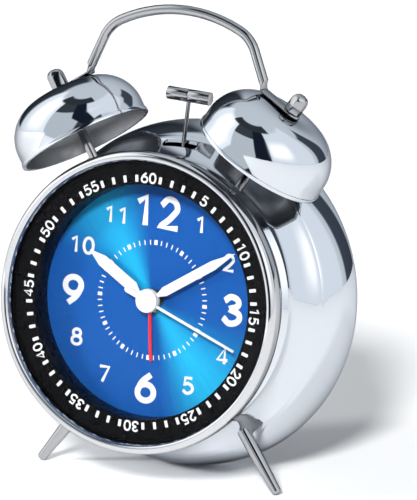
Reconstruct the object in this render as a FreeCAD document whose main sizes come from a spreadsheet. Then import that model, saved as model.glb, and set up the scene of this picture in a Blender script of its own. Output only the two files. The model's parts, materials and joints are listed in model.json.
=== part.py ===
"""Twin-bell alarm clock with a stepped dial, as an assembly of separate pieces.

The clock is drawn upright about its own axis: X to the right, Y from the dial to the back,
Z up, with the origin on the dial's axis in the plane of the minute ring. Every piece then gets
the same placement, which leans the clock back on its two feet and the bottom of its drum.
"""
import FreeCAD, Part
import math
import os
import re
import Sketcher

# name, size in millimetres or degrees, what it is
SIZES = [
    ("LeanAngle", 7.0, "how far the clock leans back"),
    ("SheetThickness", 1.2, "wall of the pressed steel case"),
    # bezel
    ("BezelRadius", 53.0, "outside of the bezel"),
    ("BezelCrest", 51.0, "radius of the bezel's foremost circle"),
    ("BezelInner", 49.2, "edge of the bezel's opening"),
    ("BezelRise", 5.0, "bezel's crest in front of the minute ring"),
    ("BezelLip", 3.5, "front of the opening's edge"),
    ("BezelShoulder", 2.4, "where the round face meets the straight side"),
    ("BezelBack", 2.0, "back edge of the bezel"),
    ("BezelChamfer", 0.7, "bevel along the back edge"),
    ("SeatRadius", 50.5, "pocket for the lens and minute ring"),
    # lens and dial
    ("LensThickness", 1.5, "clear lens"),
    ("RingThickness", 1.0, "flat of the minute ring"),
    ("RingRim", 48.8, "inside of the minute ring's raised rim"),
    ("WellRadius", 41.1, "inside of the wall down to the dial"),
    ("WellWall", 1.2, "thickness of that wall"),
    ("DialDepth", 9.8, "dial's face behind the minute ring"),
    ("DialRadius", 43.0, "dial plate"),
    ("DialThickness", 0.8, "dial plate"),
    # case
    ("NeckRadius", 48.3, "drum behind the bezel"),
    ("NeckBack", 13.1, "end of the straight drum"),
    ("StepRadius", 50.2, "step behind the drum"),
    ("StepBack", 16.5, "end of the step"),
    ("CreaseRadius", 57.4, "end of the flare"),
    ("CreaseBack", 27.7, "seam between front and rear shells"),
    ("FlareCurve", 34.0, "hollow curve of the flare"),
    ("SpigotDepth", 3.3, "front shell's spigot inside the rear shell"),
    ("BulgeRadius", 62.4, "widest circle of the rear shell"),
    ("BulgeBack", 46.0, "its place behind the minute ring"),
    ("RimCurve", 7.0, "rounding of the rear edge"),
    ("CoverRadius", 57.3, "rear cover"),
    ("CoverFront", 50.5, "front face of the rear cover"),
    ("CoverThickness", 2.0, "rear cover"),
    ("FlangeInner", 54.2, "flange that carries the cover"),
    ("PartGap", 0.1, "clearance between parts that are fixed together"),
    # bells, posts and handle
    ("BellTilt", 32.5, "bell axes, from upright"),
    ("BellDepth", 17.0, "bell plane behind the minute ring"),
    ("BellRimHeight", 62.5, "bell rim, along its axis from the clock's axis"),
    ("BellRadius", 24.2, "bell rim"),
    ("BellHeight", 19.7, "bell from rim to crown"),
    ("BeadHeight", 1.3, "turned lip along the bell rim"),
    ("BeadWidth", 0.35, "the lip's overhang"),
    ("PostRadius", 1.6, "bell post"),
    ("PostStart", 45.0, "inner end of the post"),
    ("PostEnd", 87.5, "outer end of the post"),
    ("BellSheet", 1.0, "wall of the bells"),
    ("BellCurve", 14.7, "rounding from the bell's side to its flat crown"),
    ("TabThickness", 1.3, "flattened end of the handle"),
    ("TabWidth", 7.0, "flattened end of the handle"),
    ("TabReach", 13.0, "tab from the post to the handle's leg"),
    ("NutFlats", 5.6, "cap nut across its flats"),
    ("NutHeight", 6.8, "cap nut"),
    ("HandleRadius", 1.6, "handle rod"),
    ("HandleTop", 102.0, "top of the handle's centreline"),
    ("HandleArch", 55.0, "curve of the handle's top"),
    ("HandleCorner", 8.0, "curve of the handle's corners"),
    ("HandleLegLean", 22.5, "handle's legs, from upright"),
    # feet
    ("FootAngle", 36.0, "feet, from straight down"),
    ("FootDepth", 25.0, "feet behind the minute ring"),
    ("FootRadius", 2.3, "foot rod"),
    ("FootTipRadius", 1.75, "foot's end"),
    ("FootTaper", 16.0, "tapered stretch of the foot"),
    ("FootStart", 51.0, "shoulder of the foot, inside the case"),
    ("FootRounding", 1.1, "rounding of the foot's end"),
    ("FootStud", 1.5, "radius of the foot's threaded stud"),
    ("FootStudLength", 4.5, "length of the stud inside the case"),
    # hammer
    ("HammerDepth", 24.0, "hammer's plane behind the minute ring"),
    ("HammerPivot", 32.0, "hammer's pivot above the clock's axis"),
    ("HammerLean", 3.3, "hammer at rest, from upright to the right"),
    ("HammerReach", 39.8, "pivot to the middle of the head"),
    ("HammerLength", 16.4, "hammer head"),
    ("HammerRadius", 2.35, "hammer head"),
    ("RodRadius", 0.75, "hammer rod"),
    ("SlotLength", 13.4, "slot in the case for the hammer rod"),
    ("SlotWidth", 3.0, "slot in the case for the hammer rod"),
    ("PinRadius", 1.0, "striker's pivot pin"),
    ("RunningFit", 0.05, "radial clearance of a turning shaft"),
    # movement
    ("MovementSide", 56.0, "square movement housing"),
    ("MovementFront", 11.6, "front of the housing"),
    ("MovementBack", 27.4, "back of the housing"),
    ("MovementWall", 1.4, "wall of the housing"),
    ("MovementSplit", 21.0, "seam of the housing"),
    ("BushRadius", 3.0, "threaded bush that holds the movement to the dial"),
    ("ArborRadius", 0.5, "second hand's arbor"),
    ("PipeWall", 0.5, "wall of each hand's pipe"),
    ("WheelThickness", 0.9, "toothed wheels"),
    ("ToothDepth", 0.55, "teeth"),
    ("MeshGap", 0.15, "what each toothed wheel stands inside its pitch circle"),
    ("StemDistance", 13.23, "setting stems from the centre"),
    ("StemAngle", 40.0, "setting stems above the horizontal"),
    ("StemRadius", 1.2, "setting stem"),
    ("KnobRadius", 6.5, "setting knob"),
    ("KnobHeight", 6.0, "setting knob"),
    # hands: distance of each hand's front face in front of the dial
    ("AlarmHandRise", 2.1, "alarm hand"),
    ("HourHandRise", 3.0, "hour hand"),
    ("MinuteHandRise", 3.8, "minute hand"),
    ("SecondHandRise", 4.4, "second hand"),
    ("CapRise", 5.0, "hub cap"),
    ("HandThickness", 0.35, "pressed hands"),
    ("HourHandLength", 28.5, "hour hand"),
    ("HourHandWidth", 4.2, "hour hand's blade"),
    ("HourHandPoint", 6.0, "hour hand's tapered end"),
    ("MinuteHandLength", 37.7, "minute hand"),
    ("MinuteHandWidth", 3.35, "minute hand's blade"),
    ("MinuteHandPoint", 9.2, "minute hand's tapered end"),
    ("SecondHandLength", 37.0, "second hand"),
    ("SecondHandWidth", 1.0, "second hand"),
    ("SecondTail", 9.5, "second hand's counterweight"),
    ("SecondTailWidth", 1.9, "second hand's counterweight"),
    ("AlarmHandLength", 21.7, "alarm hand"),
    ("AlarmHandWidth", 1.15, "alarm hand"),
    ("HandBladeStart", 7.5, "where a blade reaches its full width"),
    ("NeckWidth", 1.5, "hour and minute hands beside the hub"),
    ("HubRadius", 4.2, "hour and minute hands' hubs"),
    ("CapRadius", 4.1, "cap over the hub"),
    ("HourHandAngle", 302.6, "hour hand at rest, clockwise from twelve"),
    ("MinuteHandAngle", 57.7, "minute hand at rest"),
    ("SecondHandAngle", 111.8, "second hand at rest"),
    ("AlarmHandAngle", 174.6, "alarm hand at rest"),
    # battery bay
    ("CellRadius", 7.1, "AA cell"),
    ("CellLength", 50.0, "AA cell with its button"),
    ("CellPitch", 15.0, "spacing of the cells"),
    ("CellTop", 7.5, "first cell below the clock's axis"),
    ("CellDepth", 41.8, "cells' axes behind the minute ring"),
    ("BayWall", 1.4, "walls of the battery tray"),
    ("BayHalfWidth", 26.5, "inside of the tray, half its width"),
    ("BayFront", 34.0, "bottom of the tray"),
    ("DoorThickness", 1.6, "battery door"),
    ("DoorGap", 0.3, "gap all round the battery door"),
    # screws and switch on the back
    ("ScrewRadius", 0.75, "cover screw"),
    ("ScrewHead", 1.2, "cover screw's head"),
    ("ScrewRise", 0.9, "height of the screw's head"),
    ("ScrewRecess", 1.0, "depth of the seat that sinks each screw's head"),
    ("ScrewLength", 2.6, "cover screw under its head"),
    ("KnobDish", 0.6, "depth of the dish in the cover under each knob"),
    ("DishGap", 0.6, "dish round the edge of a knob"),
    ("SwitchHeight", 30.0, "alarm switch above the clock's axis"),
    ("SwitchWidth", 3.2, "slot of the alarm switch"),
    ("SwitchSlotLength", 10.8, "slot of the alarm switch"),
    ("SwitchTravel", 5.0, "travel of the alarm switch"),
    ("SwitchNub", 5.0, "length of the switch's button"),
]

CASE_PLANE = "XY_Plane"      # sketch x is the radius, sketch y the depth along the clock's axis
UPRIGHT_PLANE = "XZ_Plane"   # sketch x is the radius, sketch y the height along a piece's own Z
ZERO = FreeCAD.Vector(0, 0, 0)
AXIS_X = FreeCAD.Vector(1, 0, 0)
AXIS_Y = FreeCAD.Vector(0, 1, 0)
AXIS_Z = FreeCAD.Vector(0, 0, 1)

SCREW_ANGLES = (40, 140, 220, 320)
COVER_BACK = "CoverFront + CoverThickness"
TAB_BASE = "BellRimHeight + BellHeight"
CAP_BASE = "BellRimHeight + BellHeight + TabThickness"
LEG_FOOT = "BellRimHeight + BellHeight + HandleRadius"
MINUTE_BORE = "ArborRadius + RunningFit"
MINUTE_PIPE = MINUTE_BORE + " + PipeWall"
HOUR_BORE = MINUTE_PIPE + " + RunningFit"
HOUR_PIPE = HOUR_BORE + " + PipeWall"
ALARM_BORE = HOUR_PIPE + " + RunningFit"
ALARM_PIPE = ALARM_BORE + " + PipeWall"
BUSH_BORE = ALARM_PIPE + " + RunningFit"

doc = FreeCAD.newDocument("AlarmClock")
sheet = doc.addObject("Spreadsheet::Sheet", "Sizes")
subparts = []


def fill_sheet():
    """Write the driving dimensions, one row each, with an alias."""
    for row, (name, value, note) in enumerate(SIZES, start=1):
        sheet.set("A%d" % row, name)
        sheet.set("B%d" % row, str(value))
        sheet.set("C%d" % row, note)
        sheet.setAlias("B%d" % row, name)
    doc.recompute()


def cells(formula):
    """Point every capitalised name in a formula at its cell of the sheet."""
    return re.sub(r"\b([A-Z]\w+)", r"Sizes.\1", str(formula))


def size(formula):
    """The present value of a formula of cell names."""
    value = sheet.evalExpression(cells(formula))
    return float(getattr(value, "Value", value))


def plane_of(body, role):
    """One of a body's own origin planes or axes."""
    return next(item for item in body.Origin.OriginFeatures if item.Role == role)


def new_body(name):
    return doc.addObject("PartDesign::Body", name)


def new_sketch(body, name, plane, rise=0):
    """A sketch on one of the body's own planes, moved off it by rise along the plane's normal."""
    sketch = body.newObject("Sketcher::SketchObject", name)
    sketch.AttachmentSupport = (plane_of(body, plane), "")
    sketch.MapMode = "FlatFace"
    if rise:
        sketch.setExpression("AttachmentOffset.Base.z", cells(rise))
    return sketch


def pin_down(sketch, kind, place, formula):
    """Bind one coordinate, radius or length of a sketch to the sheet."""
    index = sketch.addConstraint(Sketcher.Constraint(kind, *place, size(formula)))
    sketch.setExpression("Constraints[%d]" % index, cells(formula))


def arc_between(start, end, radius, side):
    """Arc from start to end, bulging to the left (side 1) or right (side -1) of the way there."""
    chord = end - start
    left = FreeCAD.Vector(-chord.y, chord.x, 0).normalize()
    sink = math.sqrt(max(radius ** 2 - (chord.Length / 2) ** 2, 0))
    centre = (start + end) * 0.5 - left * (side * sink)
    first, last = (end, start) if side > 0 else (start, end)
    angles = [math.atan2(point.y - centre.y, point.x - centre.x) for point in (first, last)]
    if angles[1] <= angles[0]:
        angles[1] += 2 * math.pi
    return Part.ArcOfCircle(Part.Circle(centre, AXIS_Z, radius), *angles), side < 0


def draw_outline(sketch, corners):
    """Closed outline through corners (x, y), or (x, y, radius, side) where an arc leaves one."""
    points = [FreeCAD.Vector(size(corner[0]), size(corner[1]), 0) for corner in corners]
    ends = []
    for index, corner in enumerate(corners):
        start, end = points[index], points[(index + 1) % len(points)]
        if len(corner) == 2:
            edge = sketch.addGeometry(Part.LineSegment(start, end), False)
            ends.append((edge, 1, 2))
            continue
        arc, forward = arc_between(start, end, size(corner[2]), corner[3])
        edge = sketch.addGeometry(arc, False)
        ends.append((edge, 1, 2) if forward else (edge, 2, 1))
    for index, corner in enumerate(corners):
        edge, near, far = ends[index]
        following, joint = ends[(index + 1) % len(ends)][:2]
        sketch.addConstraint(Sketcher.Constraint("Coincident", edge, far, following, joint))
        pin_down(sketch, "DistanceX", (edge, near), corner[0])
        pin_down(sketch, "DistanceY", (edge, near), corner[1])
        if len(corner) > 2:
            pin_down(sketch, "Radius", (edge,), corner[2])


def draw_circle(sketch, centre, radius):
    """A circle bound to the sheet."""
    middle = FreeCAD.Vector(size(centre[0]), size(centre[1]), 0)
    edge = sketch.addGeometry(Part.Circle(middle, AXIS_Z, size(radius)), False)
    pin_down(sketch, "Radius", (edge,), radius)
    pin_down(sketch, "DistanceX", (edge, 3), centre[0])
    pin_down(sketch, "DistanceY", (edge, 3), centre[1])


def turn_into(body, name, corners, plane=CASE_PLANE, cut=False):
    """Add or cut a turned shape: an outline revolved about the sketch's vertical axis."""
    sketch = new_sketch(body, name + "_profile", plane)
    draw_outline(sketch, corners)
    kind = "PartDesign::Groove" if cut else "PartDesign::Revolution"
    feature = body.newObject(kind, name + "_turned")
    feature.Profile = sketch
    feature.ReferenceAxis = (sketch, ["V_Axis"])
    feature.Angle = 360
    return feature


def turned(name, corners, plane=CASE_PLANE):
    """A body turned from one outline."""
    body = new_body(name)
    turn_into(body, name, corners, plane)
    doc.recompute()
    return body


def ring_outline(inner, outer, front, back):
    """Corners of a plain ring's section."""
    return [(inner, front), (outer, front), (outer, back), (inner, back)]


def pad(body, name, draw, length, plane=CASE_PLANE, rise=0, cut=False, symmetric=False):
    """Pad or pocket a sketch that draw() fills."""
    sketch = new_sketch(body, name + "_sketch", plane, rise)
    draw(sketch)
    feature = body.newObject("PartDesign::Pocket" if cut else "PartDesign::Pad", name + "_pad")
    feature.Profile = sketch
    feature.setExpression("Length", cells(length))
    if symmetric:
        feature.SideType = "Symmetric"
    doc.recompute()
    return feature


def rectangle(low_x, low_z, high_x, high_z):
    """Corners of a rectangle."""
    return [(low_x, low_z), (high_x, low_z), (high_x, high_z), (low_x, high_z)]


def pattern_round(body, feature, count, axis="Y_Axis"):
    """Repeat a feature evenly about one of the body's axes."""
    pattern = body.newObject("PartDesign::PolarPattern", feature.Name + "_pattern")
    pattern.Originals = [feature]
    pattern.Axis = (plane_of(body, axis), [""])
    pattern.Angle = 360
    pattern.Occurrences = count
    body.Tip = pattern
    doc.recompute()


def primitive(kind, name, placement=None, **sizes):
    """A Part primitive whose sizes are bound to the sheet."""
    item = doc.addObject("Part::" + kind, name)
    for key, formula in sizes.items():
        item.setExpression(key, cells(formula))
    if placement:
        item.Placement = placement
    return item


def rod(name, radius, length, placement):
    return primitive("Cylinder", name, placement, Radius=radius, Height=length)


def block(name, low, high):
    """A box between two corners, each given as three formulas."""
    spans = ["(%s) - (%s)" % (top, bottom) for bottom, top in zip(low, high)]
    item = primitive("Box", name, Length=spans[0], Width=spans[1], Height=spans[2])
    for axis, formula in zip("xyz", low):
        item.setExpression("Placement.Base." + axis, cells(formula))
    return item


def joined(name, items):
    """One solid from overlapping ones."""
    result = doc.addObject("Part::MultiFuse", name)
    result.Shapes = items
    result.Refine = True
    doc.recompute()
    return result


def gathered(name, items):
    """Identical loose pieces that share a node."""
    result = doc.addObject("Part::Compound", name)
    result.Links = items
    doc.recompute()
    return result


def drilled(name, base, tools):
    """A piece with holes: base less every tool."""
    result = doc.addObject("Part::Cut", name)
    result.Base = base
    result.Tool = tools[0] if len(tools) == 1 else gathered(name + "_holes", tools)
    doc.recompute()
    return result


def keep(label, item, seat=None):
    """Name a finished piece and note where it sits in the upright clock."""
    item.Label = label
    subparts.append((item, seat or FreeCAD.Placement()))
    return item


def seat_at(x, y, z, axis=AXIS_Y, angle=0.0):
    """A placement in the upright clock; positions are formulas."""
    place = FreeCAD.Vector(size(x), size(y), size(z))
    return FreeCAD.Placement(place, FreeCAD.Rotation(axis, angle))


def along_radius(angle, depth, start):
    """A placement whose Z points out from the clock's axis, angle degrees clockwise from up."""
    turn = FreeCAD.Rotation(AXIS_Y, angle)
    base = turn.multVec(FreeCAD.Vector(0, 0, size(start))) + FreeCAD.Vector(0, size(depth), 0)
    return FreeCAD.Placement(base, turn)


def along_depth(x, y, z):
    """A placement whose Z points to the back of the clock."""
    return FreeCAD.Placement(FreeCAD.Vector(size(x), size(y), size(z)), FreeCAD.Rotation(AXIS_X, -90))


def build_bezel():
    corners = [
        ("BezelInner", "-BezelLip", 3.0, -1),
        ("BezelCrest", "-BezelRise", 2.6, -1),
        ("BezelRadius", "-BezelShoulder"),
        ("BezelRadius", "BezelBack - BezelChamfer"),
        ("BezelRadius - BezelChamfer", "BezelBack"),
        ("NeckRadius + PartGap", "BezelBack"),
        ("NeckRadius + PartGap", "RingThickness"),
        ("SeatRadius", "RingThickness"),
        ("SeatRadius", "-RingThickness - LensThickness"),
        ("BezelInner", "-RingThickness - LensThickness"),
    ]
    keep("bezel", turned("Bezel", corners))


def build_lens():
    section = ring_outline("0", "SeatRadius - PartGap", "-RingThickness - LensThickness",
                           "-RingThickness")
    keep("lens", turned("Lens", section))


def build_dial():
    """Minute ring with its rim and the wall down to the dial, and the dial plate."""
    corners = [
        ("WellRadius", "0"),
        ("RingRim", "0"),
        ("RingRim", "-RingThickness"),
        ("SeatRadius - PartGap", "-RingThickness"),
        ("SeatRadius - PartGap", "RingThickness"),
        ("WellRadius + WellWall", "RingThickness"),
        ("WellRadius + WellWall", "DialDepth"),
        ("WellRadius", "DialDepth"),
    ]
    keep("minute_ring", turned("MinuteRing", corners))
    plate = ring_outline("BushRadius + PartGap", "DialRadius", "DialDepth", "DialDepth + DialThickness")
    keep("dial_plate", turned("DialPlate", plate))


def slot_tool():
    """The space the hammer's rod swings in."""
    half = "SlotLength / 2 - SlotWidth / 2"
    bar = block("SlotBar", ("-(%s)" % half, "HammerDepth - SlotWidth / 2", "NeckRadius"),
                (half, "HammerDepth + SlotWidth / 2", "BulgeRadius"))
    ends = [rod("SlotEnd%d" % side, "SlotWidth / 2", "BulgeRadius - NeckRadius",
                seat_at("%d * (%s)" % (side, half), "HammerDepth", "NeckRadius"))
            for side in (-1, 1)]
    return joined("SlotSpace", [bar] + ends)


def build_front_shell():
    """Pressed drum, step and flare, with its spigot, post holes, foot holes and hammer slot."""
    corners = [
        ("NeckRadius", "RingThickness"),
        ("NeckRadius", "NeckBack"),
        ("StepRadius", "NeckBack + 1.4"),
        ("StepRadius", "StepBack", "FlareCurve", 1),
        ("CreaseRadius", "CreaseBack"),
        ("CreaseRadius - SheetThickness", "CreaseBack"),
        ("CreaseRadius - SheetThickness", "CreaseBack + SpigotDepth"),
        ("CreaseRadius - 2 * SheetThickness", "CreaseBack + SpigotDepth"),
        ("CreaseRadius - 2 * SheetThickness", "CreaseBack - 1", "FlareCurve", -1),
        ("StepRadius - SheetThickness", "StepBack"),
        ("StepRadius - SheetThickness", "NeckBack + 1.4"),
        ("NeckRadius - SheetThickness", "NeckBack + 0.6"),
        ("NeckRadius - SheetThickness", "RingThickness"),
    ]
    shell = turned("FrontShell", corners)
    reach = "BulgeRadius - PostStart"
    holes = [rod("PostHole%d" % side, "PostRadius + PartGap", reach,
                 along_radius(side * size("BellTilt"), "BellDepth", "PostStart"))
             for side in (-1, 1)]
    holes += [rod("FootHole%d" % side, "FootRadius + PartGap", reach,
                  along_radius(180 - side * size("FootAngle"), "FootDepth", "PostStart"))
              for side in (-1, 1)]
    keep("front_shell", drilled("FrontShellDrilled", shell, holes + [slot_tool()]))


BULGE_CURVE = ("((BulgeRadius - CreaseRadius)^2 + (BulgeBack - CreaseBack)^2)"
               " / (2 * (BulgeRadius - CreaseRadius))")
RIM_CENTRE = "(BulgeRadius - RimCurve)"


def build_rear_shell():
    """Bulged rear drum, its rounded edge and the flange that carries the cover."""
    edge_back = "BulgeBack + sqrt(RimCurve^2 - (CoverRadius + PartGap - %s)^2)" % RIM_CENTRE
    inner_curve = "RimCurve - SheetThickness"
    flange_front = "CoverFront - SheetThickness"
    flange_edge = "%s + sqrt((%s)^2 - (%s - BulgeBack)^2)" % (RIM_CENTRE, inner_curve, flange_front)
    corners = [
        ("CreaseRadius", "CreaseBack", BULGE_CURVE, -1),
        ("BulgeRadius", "BulgeBack", "RimCurve", -1),
        ("CoverRadius + PartGap", edge_back),
        ("CoverRadius + PartGap", "CoverFront"),
        ("FlangeInner", "CoverFront"),
        ("FlangeInner", flange_front),
        (flange_edge, flange_front, inner_curve, 1),
        ("BulgeRadius - SheetThickness", "BulgeBack", BULGE_CURVE + " - SheetThickness", 1),
        ("CreaseRadius - SheetThickness + PartGap", "CreaseBack"),
    ]
    holes = [rod("FlangeHole%d" % angle, "ScrewRadius + PartGap", "SheetThickness + 2",
                 screw_place(angle, flange_front + " - 1")) for angle in SCREW_ANGLES]
    keep("rear_shell", drilled("RearShellDrilled", turned("RearShell", corners), holes))


def bay_box(grow):
    """Low and high corners (x, z) of the battery tray's inside, grown by a wall."""
    low = ("-BayHalfWidth - (%s)" % grow, "-CellTop - 2 * CellPitch - CellRadius - 0.5 - (%s)" % grow)
    high = ("BayHalfWidth + (%s)" % grow, "-CellTop + CellRadius + 0.5 + (%s)" % grow)
    return low, high


def stem_place(side):
    """Place (x, z) of a setting stem: time on the right (side 1), alarm on the left, from the front."""
    return ("%d * StemDistance * cos(StemAngle * 1 deg)" % side, "StemDistance * sin(StemAngle * 1 deg)")


def on_depth_axis(place, depth):
    """A placement at (x, z) whose Z points to the back, starting at a depth."""
    return along_depth(place[0], depth, place[1])


def screw_place(angle, depth):
    """One of the cover's screws."""
    ring = "(FlangeInner + CoverRadius) / 2"
    place = ("%s * cos(%d deg)" % (ring, angle), "%s * sin(%d deg)" % (ring, angle))
    return on_depth_axis(place, depth)


def build_rear_cover():
    """Flat back with the battery opening, dished stem bores, switch slot and sunk screw holes."""
    cover = turned("RearCover", ring_outline("0", "CoverRadius", "CoverFront", COVER_BACK))
    low, high = bay_box("0")
    opening = block("DoorOpening", (low[0], "CoverFront - 1", low[1]),
                    (high[0], COVER_BACK + " + 1", high[1]))
    slot = block("SwitchSlot", ("-SwitchSlotLength / 2", "CoverFront - 1", "SwitchHeight - SwitchWidth / 2"),
                 ("SwitchSlotLength / 2", COVER_BACK + " + 1", "SwitchHeight + SwitchWidth / 2"))
    bores = [rod("CoverBore%d" % side, "StemRadius + RunningFit", "CoverThickness + 2",
                 on_depth_axis(stem_place(side), "CoverFront - 1")) for side in (-1, 1)]
    holes = [rod("ScrewHole%d" % angle, "ScrewRadius + PartGap", "CoverThickness + 2",
                 screw_place(angle, "CoverFront - 1")) for angle in SCREW_ANGLES]
    dishes = [rod("KnobDish%d" % side, "KnobRadius + DishGap", "KnobDish + 1",
                  on_depth_axis(stem_place(side), COVER_BACK + " - KnobDish")) for side in (-1, 1)]
    seats = [rod("ScrewSeat%d" % angle, "ScrewHead + PartGap", "ScrewRecess + 1",
                 screw_place(angle, COVER_BACK + " - ScrewRecess")) for angle in SCREW_ANGLES]
    keep("rear_cover", drilled("RearCoverDrilled", cover, [opening, slot] + bores + holes + dishes + seats))


def build_cover_screws():
    """Four pan-head screws with a driver slot."""
    screws = []
    for angle in SCREW_ANGLES:
        shank = rod("ScrewShank%d" % angle, "ScrewRadius", "ScrewLength",
                    seat_at("0", "0", "-ScrewLength"))
        head = rod("ScrewHead%d" % angle, "ScrewHead", "ScrewRise", seat_at("0", "0", "0"))
        slot = block("ScrewSlot%d" % angle, ("-ScrewHead", "-ScrewRise / 5", "ScrewRise / 2"),
                     ("ScrewHead", "ScrewRise / 5", "2 * ScrewRise"))
        screw = drilled("Screw%d" % angle, joined("ScrewSolid%d" % angle, [shank, head]), [slot])
        screw.Placement = screw_place(angle, COVER_BACK + " - ScrewRecess")
        screws.append(screw)
    keep("cover_screws", gathered("CoverScrews", screws))


def build_bell(side, name):
    crown = "BellRimHeight + BellHeight"
    corners = [
        ("BellRadius + BeadWidth", "BellRimHeight"),
        ("BellRadius + BeadWidth", "BellRimHeight + BeadHeight"),
        ("BellRadius", "BellRimHeight + BeadHeight"),
        ("BellRadius", crown + " - BellCurve", "BellCurve", -1),
        ("BellRadius - BellCurve", crown),
        ("PostRadius + PartGap", crown),
        ("PostRadius + PartGap", crown + " - BellSheet"),
        ("BellRadius - BellCurve", crown + " - BellSheet", "BellCurve - BellSheet", 1),
        ("BellRadius - BellSheet", crown + " - BellCurve"),
        ("BellRadius - BellSheet", "BellRimHeight"),
    ]
    keep("bell_" + name, turned("Bell" + name, corners, UPRIGHT_PLANE), bell_seat(side))


def bell_seat(side):
    """Bell axis: Z outwards, measured from the clock's axis."""
    return along_radius(side * size("BellTilt"), "BellDepth", "0")


def build_post(side, name):
    """Threaded post with a shoulder that carries the bell from below."""
    shoulder = "BellRimHeight + BellHeight - BellSheet"
    corners = [
        ("0", "PostStart"),
        ("PostRadius", "PostStart"),
        ("PostRadius", "PostEnd"),
        ("0", "PostEnd"),
    ]
    keep("post_" + name, turned("Post" + name, corners, UPRIGHT_PLANE), bell_seat(side))
    seat_ring = ring_outline("PostRadius", "2 * PostRadius", shoulder + " - PostRadius", shoulder)
    return turned("BellWasher" + name, seat_ring, UPRIGHT_PLANE)


def hexagon(flats):
    """Corners of a hexagon by its width across the flats."""
    return [("(%s) / sqrt(3) * cos(%d deg)" % (flats, turn), "(%s) / sqrt(3) * sin(%d deg)" % (flats, turn))
            for turn in range(0, 360, 60)]


def build_cap_nut(name):
    """Hexagonal cap nut: a prism with a domed top and a blind bore."""
    body = new_body("CapNut" + name)
    base = CAP_BASE
    pad(body, body.Name, lambda sketch: draw_outline(sketch, hexagon("NutFlats")), "NutHeight",
        "XY_Plane", base)
    corner = "NutFlats / sqrt(3) + 0.1"
    dome = [
        ("NutFlats / 4", base + " + NutHeight", "NutFlats * 0.6", -1),
        (corner, base + " + NutHeight * 0.6"),
        (corner, base + " + NutHeight + 1"),
        ("NutFlats / 4", base + " + NutHeight + 1"),
    ]
    turn_into(body, body.Name + "Dome", dome, UPRIGHT_PLANE, cut=True)
    bore = ring_outline("0", "PostRadius", base, "PostEnd")
    turn_into(body, body.Name + "Bore", bore, UPRIGHT_PLANE, cut=True)
    doc.recompute()
    return body


def plain_nut(name, flats, bore, start, thickness):
    """Plain hexagonal nut on a piece's own Z axis."""
    body = new_body(name)
    pad(body, name, lambda sketch: draw_outline(sketch, hexagon(flats)), thickness, "XY_Plane", start)
    bore_outline = ring_outline("0", bore, start + " - 1", "(%s) + (%s) + 1" % (start, thickness))
    turn_into(body, name + "Bore", bore_outline, UPRIGHT_PLANE, cut=True)
    doc.recompute()
    return body


def place_all(items, seats):
    for item, seat in zip(items, seats):
        item.Placement = seat
    return items


def build_bells():
    """Both bells with their posts, washers and nuts."""
    names = {-1: "left", 1: "right"}
    seats = [bell_seat(side) for side in names]
    washers = []
    for side, name in names.items():
        build_bell(side, name)
        washers.append(build_post(side, name))
    keep("bell_washers", gathered("BellWashers", place_all(washers, seats)))
    caps = [build_cap_nut(name) for name in names.values()]
    keep("cap_nuts", gathered("CapNuts", place_all(caps, seats)))
    nuts = [plain_nut("PostNut" + name, "NutFlats", "PostRadius", "PostStart + 0.5", "2.4")
            for name in names.values()]
    keep("post_nuts", gathered("PostNuts", place_all(nuts, seats)))


def handle_path(sketch):
    """Half of the handle's centreline: arch, corner and leg, each tangent to the next."""
    lean, reach = math.radians(size("HandleLegLean")), size("TabReach")
    tilt, height = math.radians(size("BellTilt")), size(LEG_FOOT)
    foot = FreeCAD.Vector(height * math.sin(tilt) - reach * math.cos(tilt),
                          height * math.cos(tilt) + reach * math.sin(tilt), 0)
    along = FreeCAD.Vector(-math.sin(lean), math.cos(lean), 0)
    inward = FreeCAD.Vector(-math.cos(lean), -math.sin(lean), 0)
    arch, bend = size("HandleArch"), size("HandleCorner")
    middle = FreeCAD.Vector(0, size("HandleTop - HandleArch"), 0)
    offset = foot + inward * bend - middle
    half = offset.dot(along)
    climb = -half + math.sqrt(half ** 2 - offset.dot(offset) + (arch - bend) ** 2)
    centre = foot + inward * bend + along * climb
    leg_top = foot + along * climb
    arch_end = middle + (centre - middle) * (arch / (arch - bend))
    top = middle + FreeCAD.Vector(0, arch, 0)
    arch_arc, arch_forward = arc_between(top, arch_end, arch, 1)
    bend_arc, bend_forward = arc_between(arch_end, leg_top, bend, 1)
    sketch.addGeometry([arch_arc, bend_arc, Part.LineSegment(leg_top, foot)], False)
    join = [("Tangent", 0, 1, 1, 2), ("Tangent", 1, 1, 2, 1)]
    for kind, *ends in join:
        sketch.addConstraint(Sketcher.Constraint(kind, *ends))
    pin_down(sketch, "Radius", (0,), "HandleArch")
    pin_down(sketch, "Radius", (1,), "HandleCorner")
    pin_down(sketch, "DistanceX", (0, 3), "0")
    pin_down(sketch, "DistanceY", (0, 3), "HandleTop - HandleArch")
    pin_down(sketch, "DistanceX", (0, 2), "0")
    tilt_sine, tilt_cosine = "sin(BellTilt * 1 deg)", "cos(BellTilt * 1 deg)"
    pin_down(sketch, "DistanceX", (2, 2), "(%s) * %s - TabReach * %s" % (LEG_FOOT, tilt_sine, tilt_cosine))
    pin_down(sketch, "DistanceY", (2, 2), "(%s) * %s + TabReach * %s" % (LEG_FOOT, tilt_cosine, tilt_sine))
    slope = sketch.addConstraint(Sketcher.Constraint("Angle", 2, lean - math.pi / 2))
    sketch.setExpression("Constraints[%d]" % slope, cells("(HandleLegLean - 90) * 1 deg"))


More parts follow.
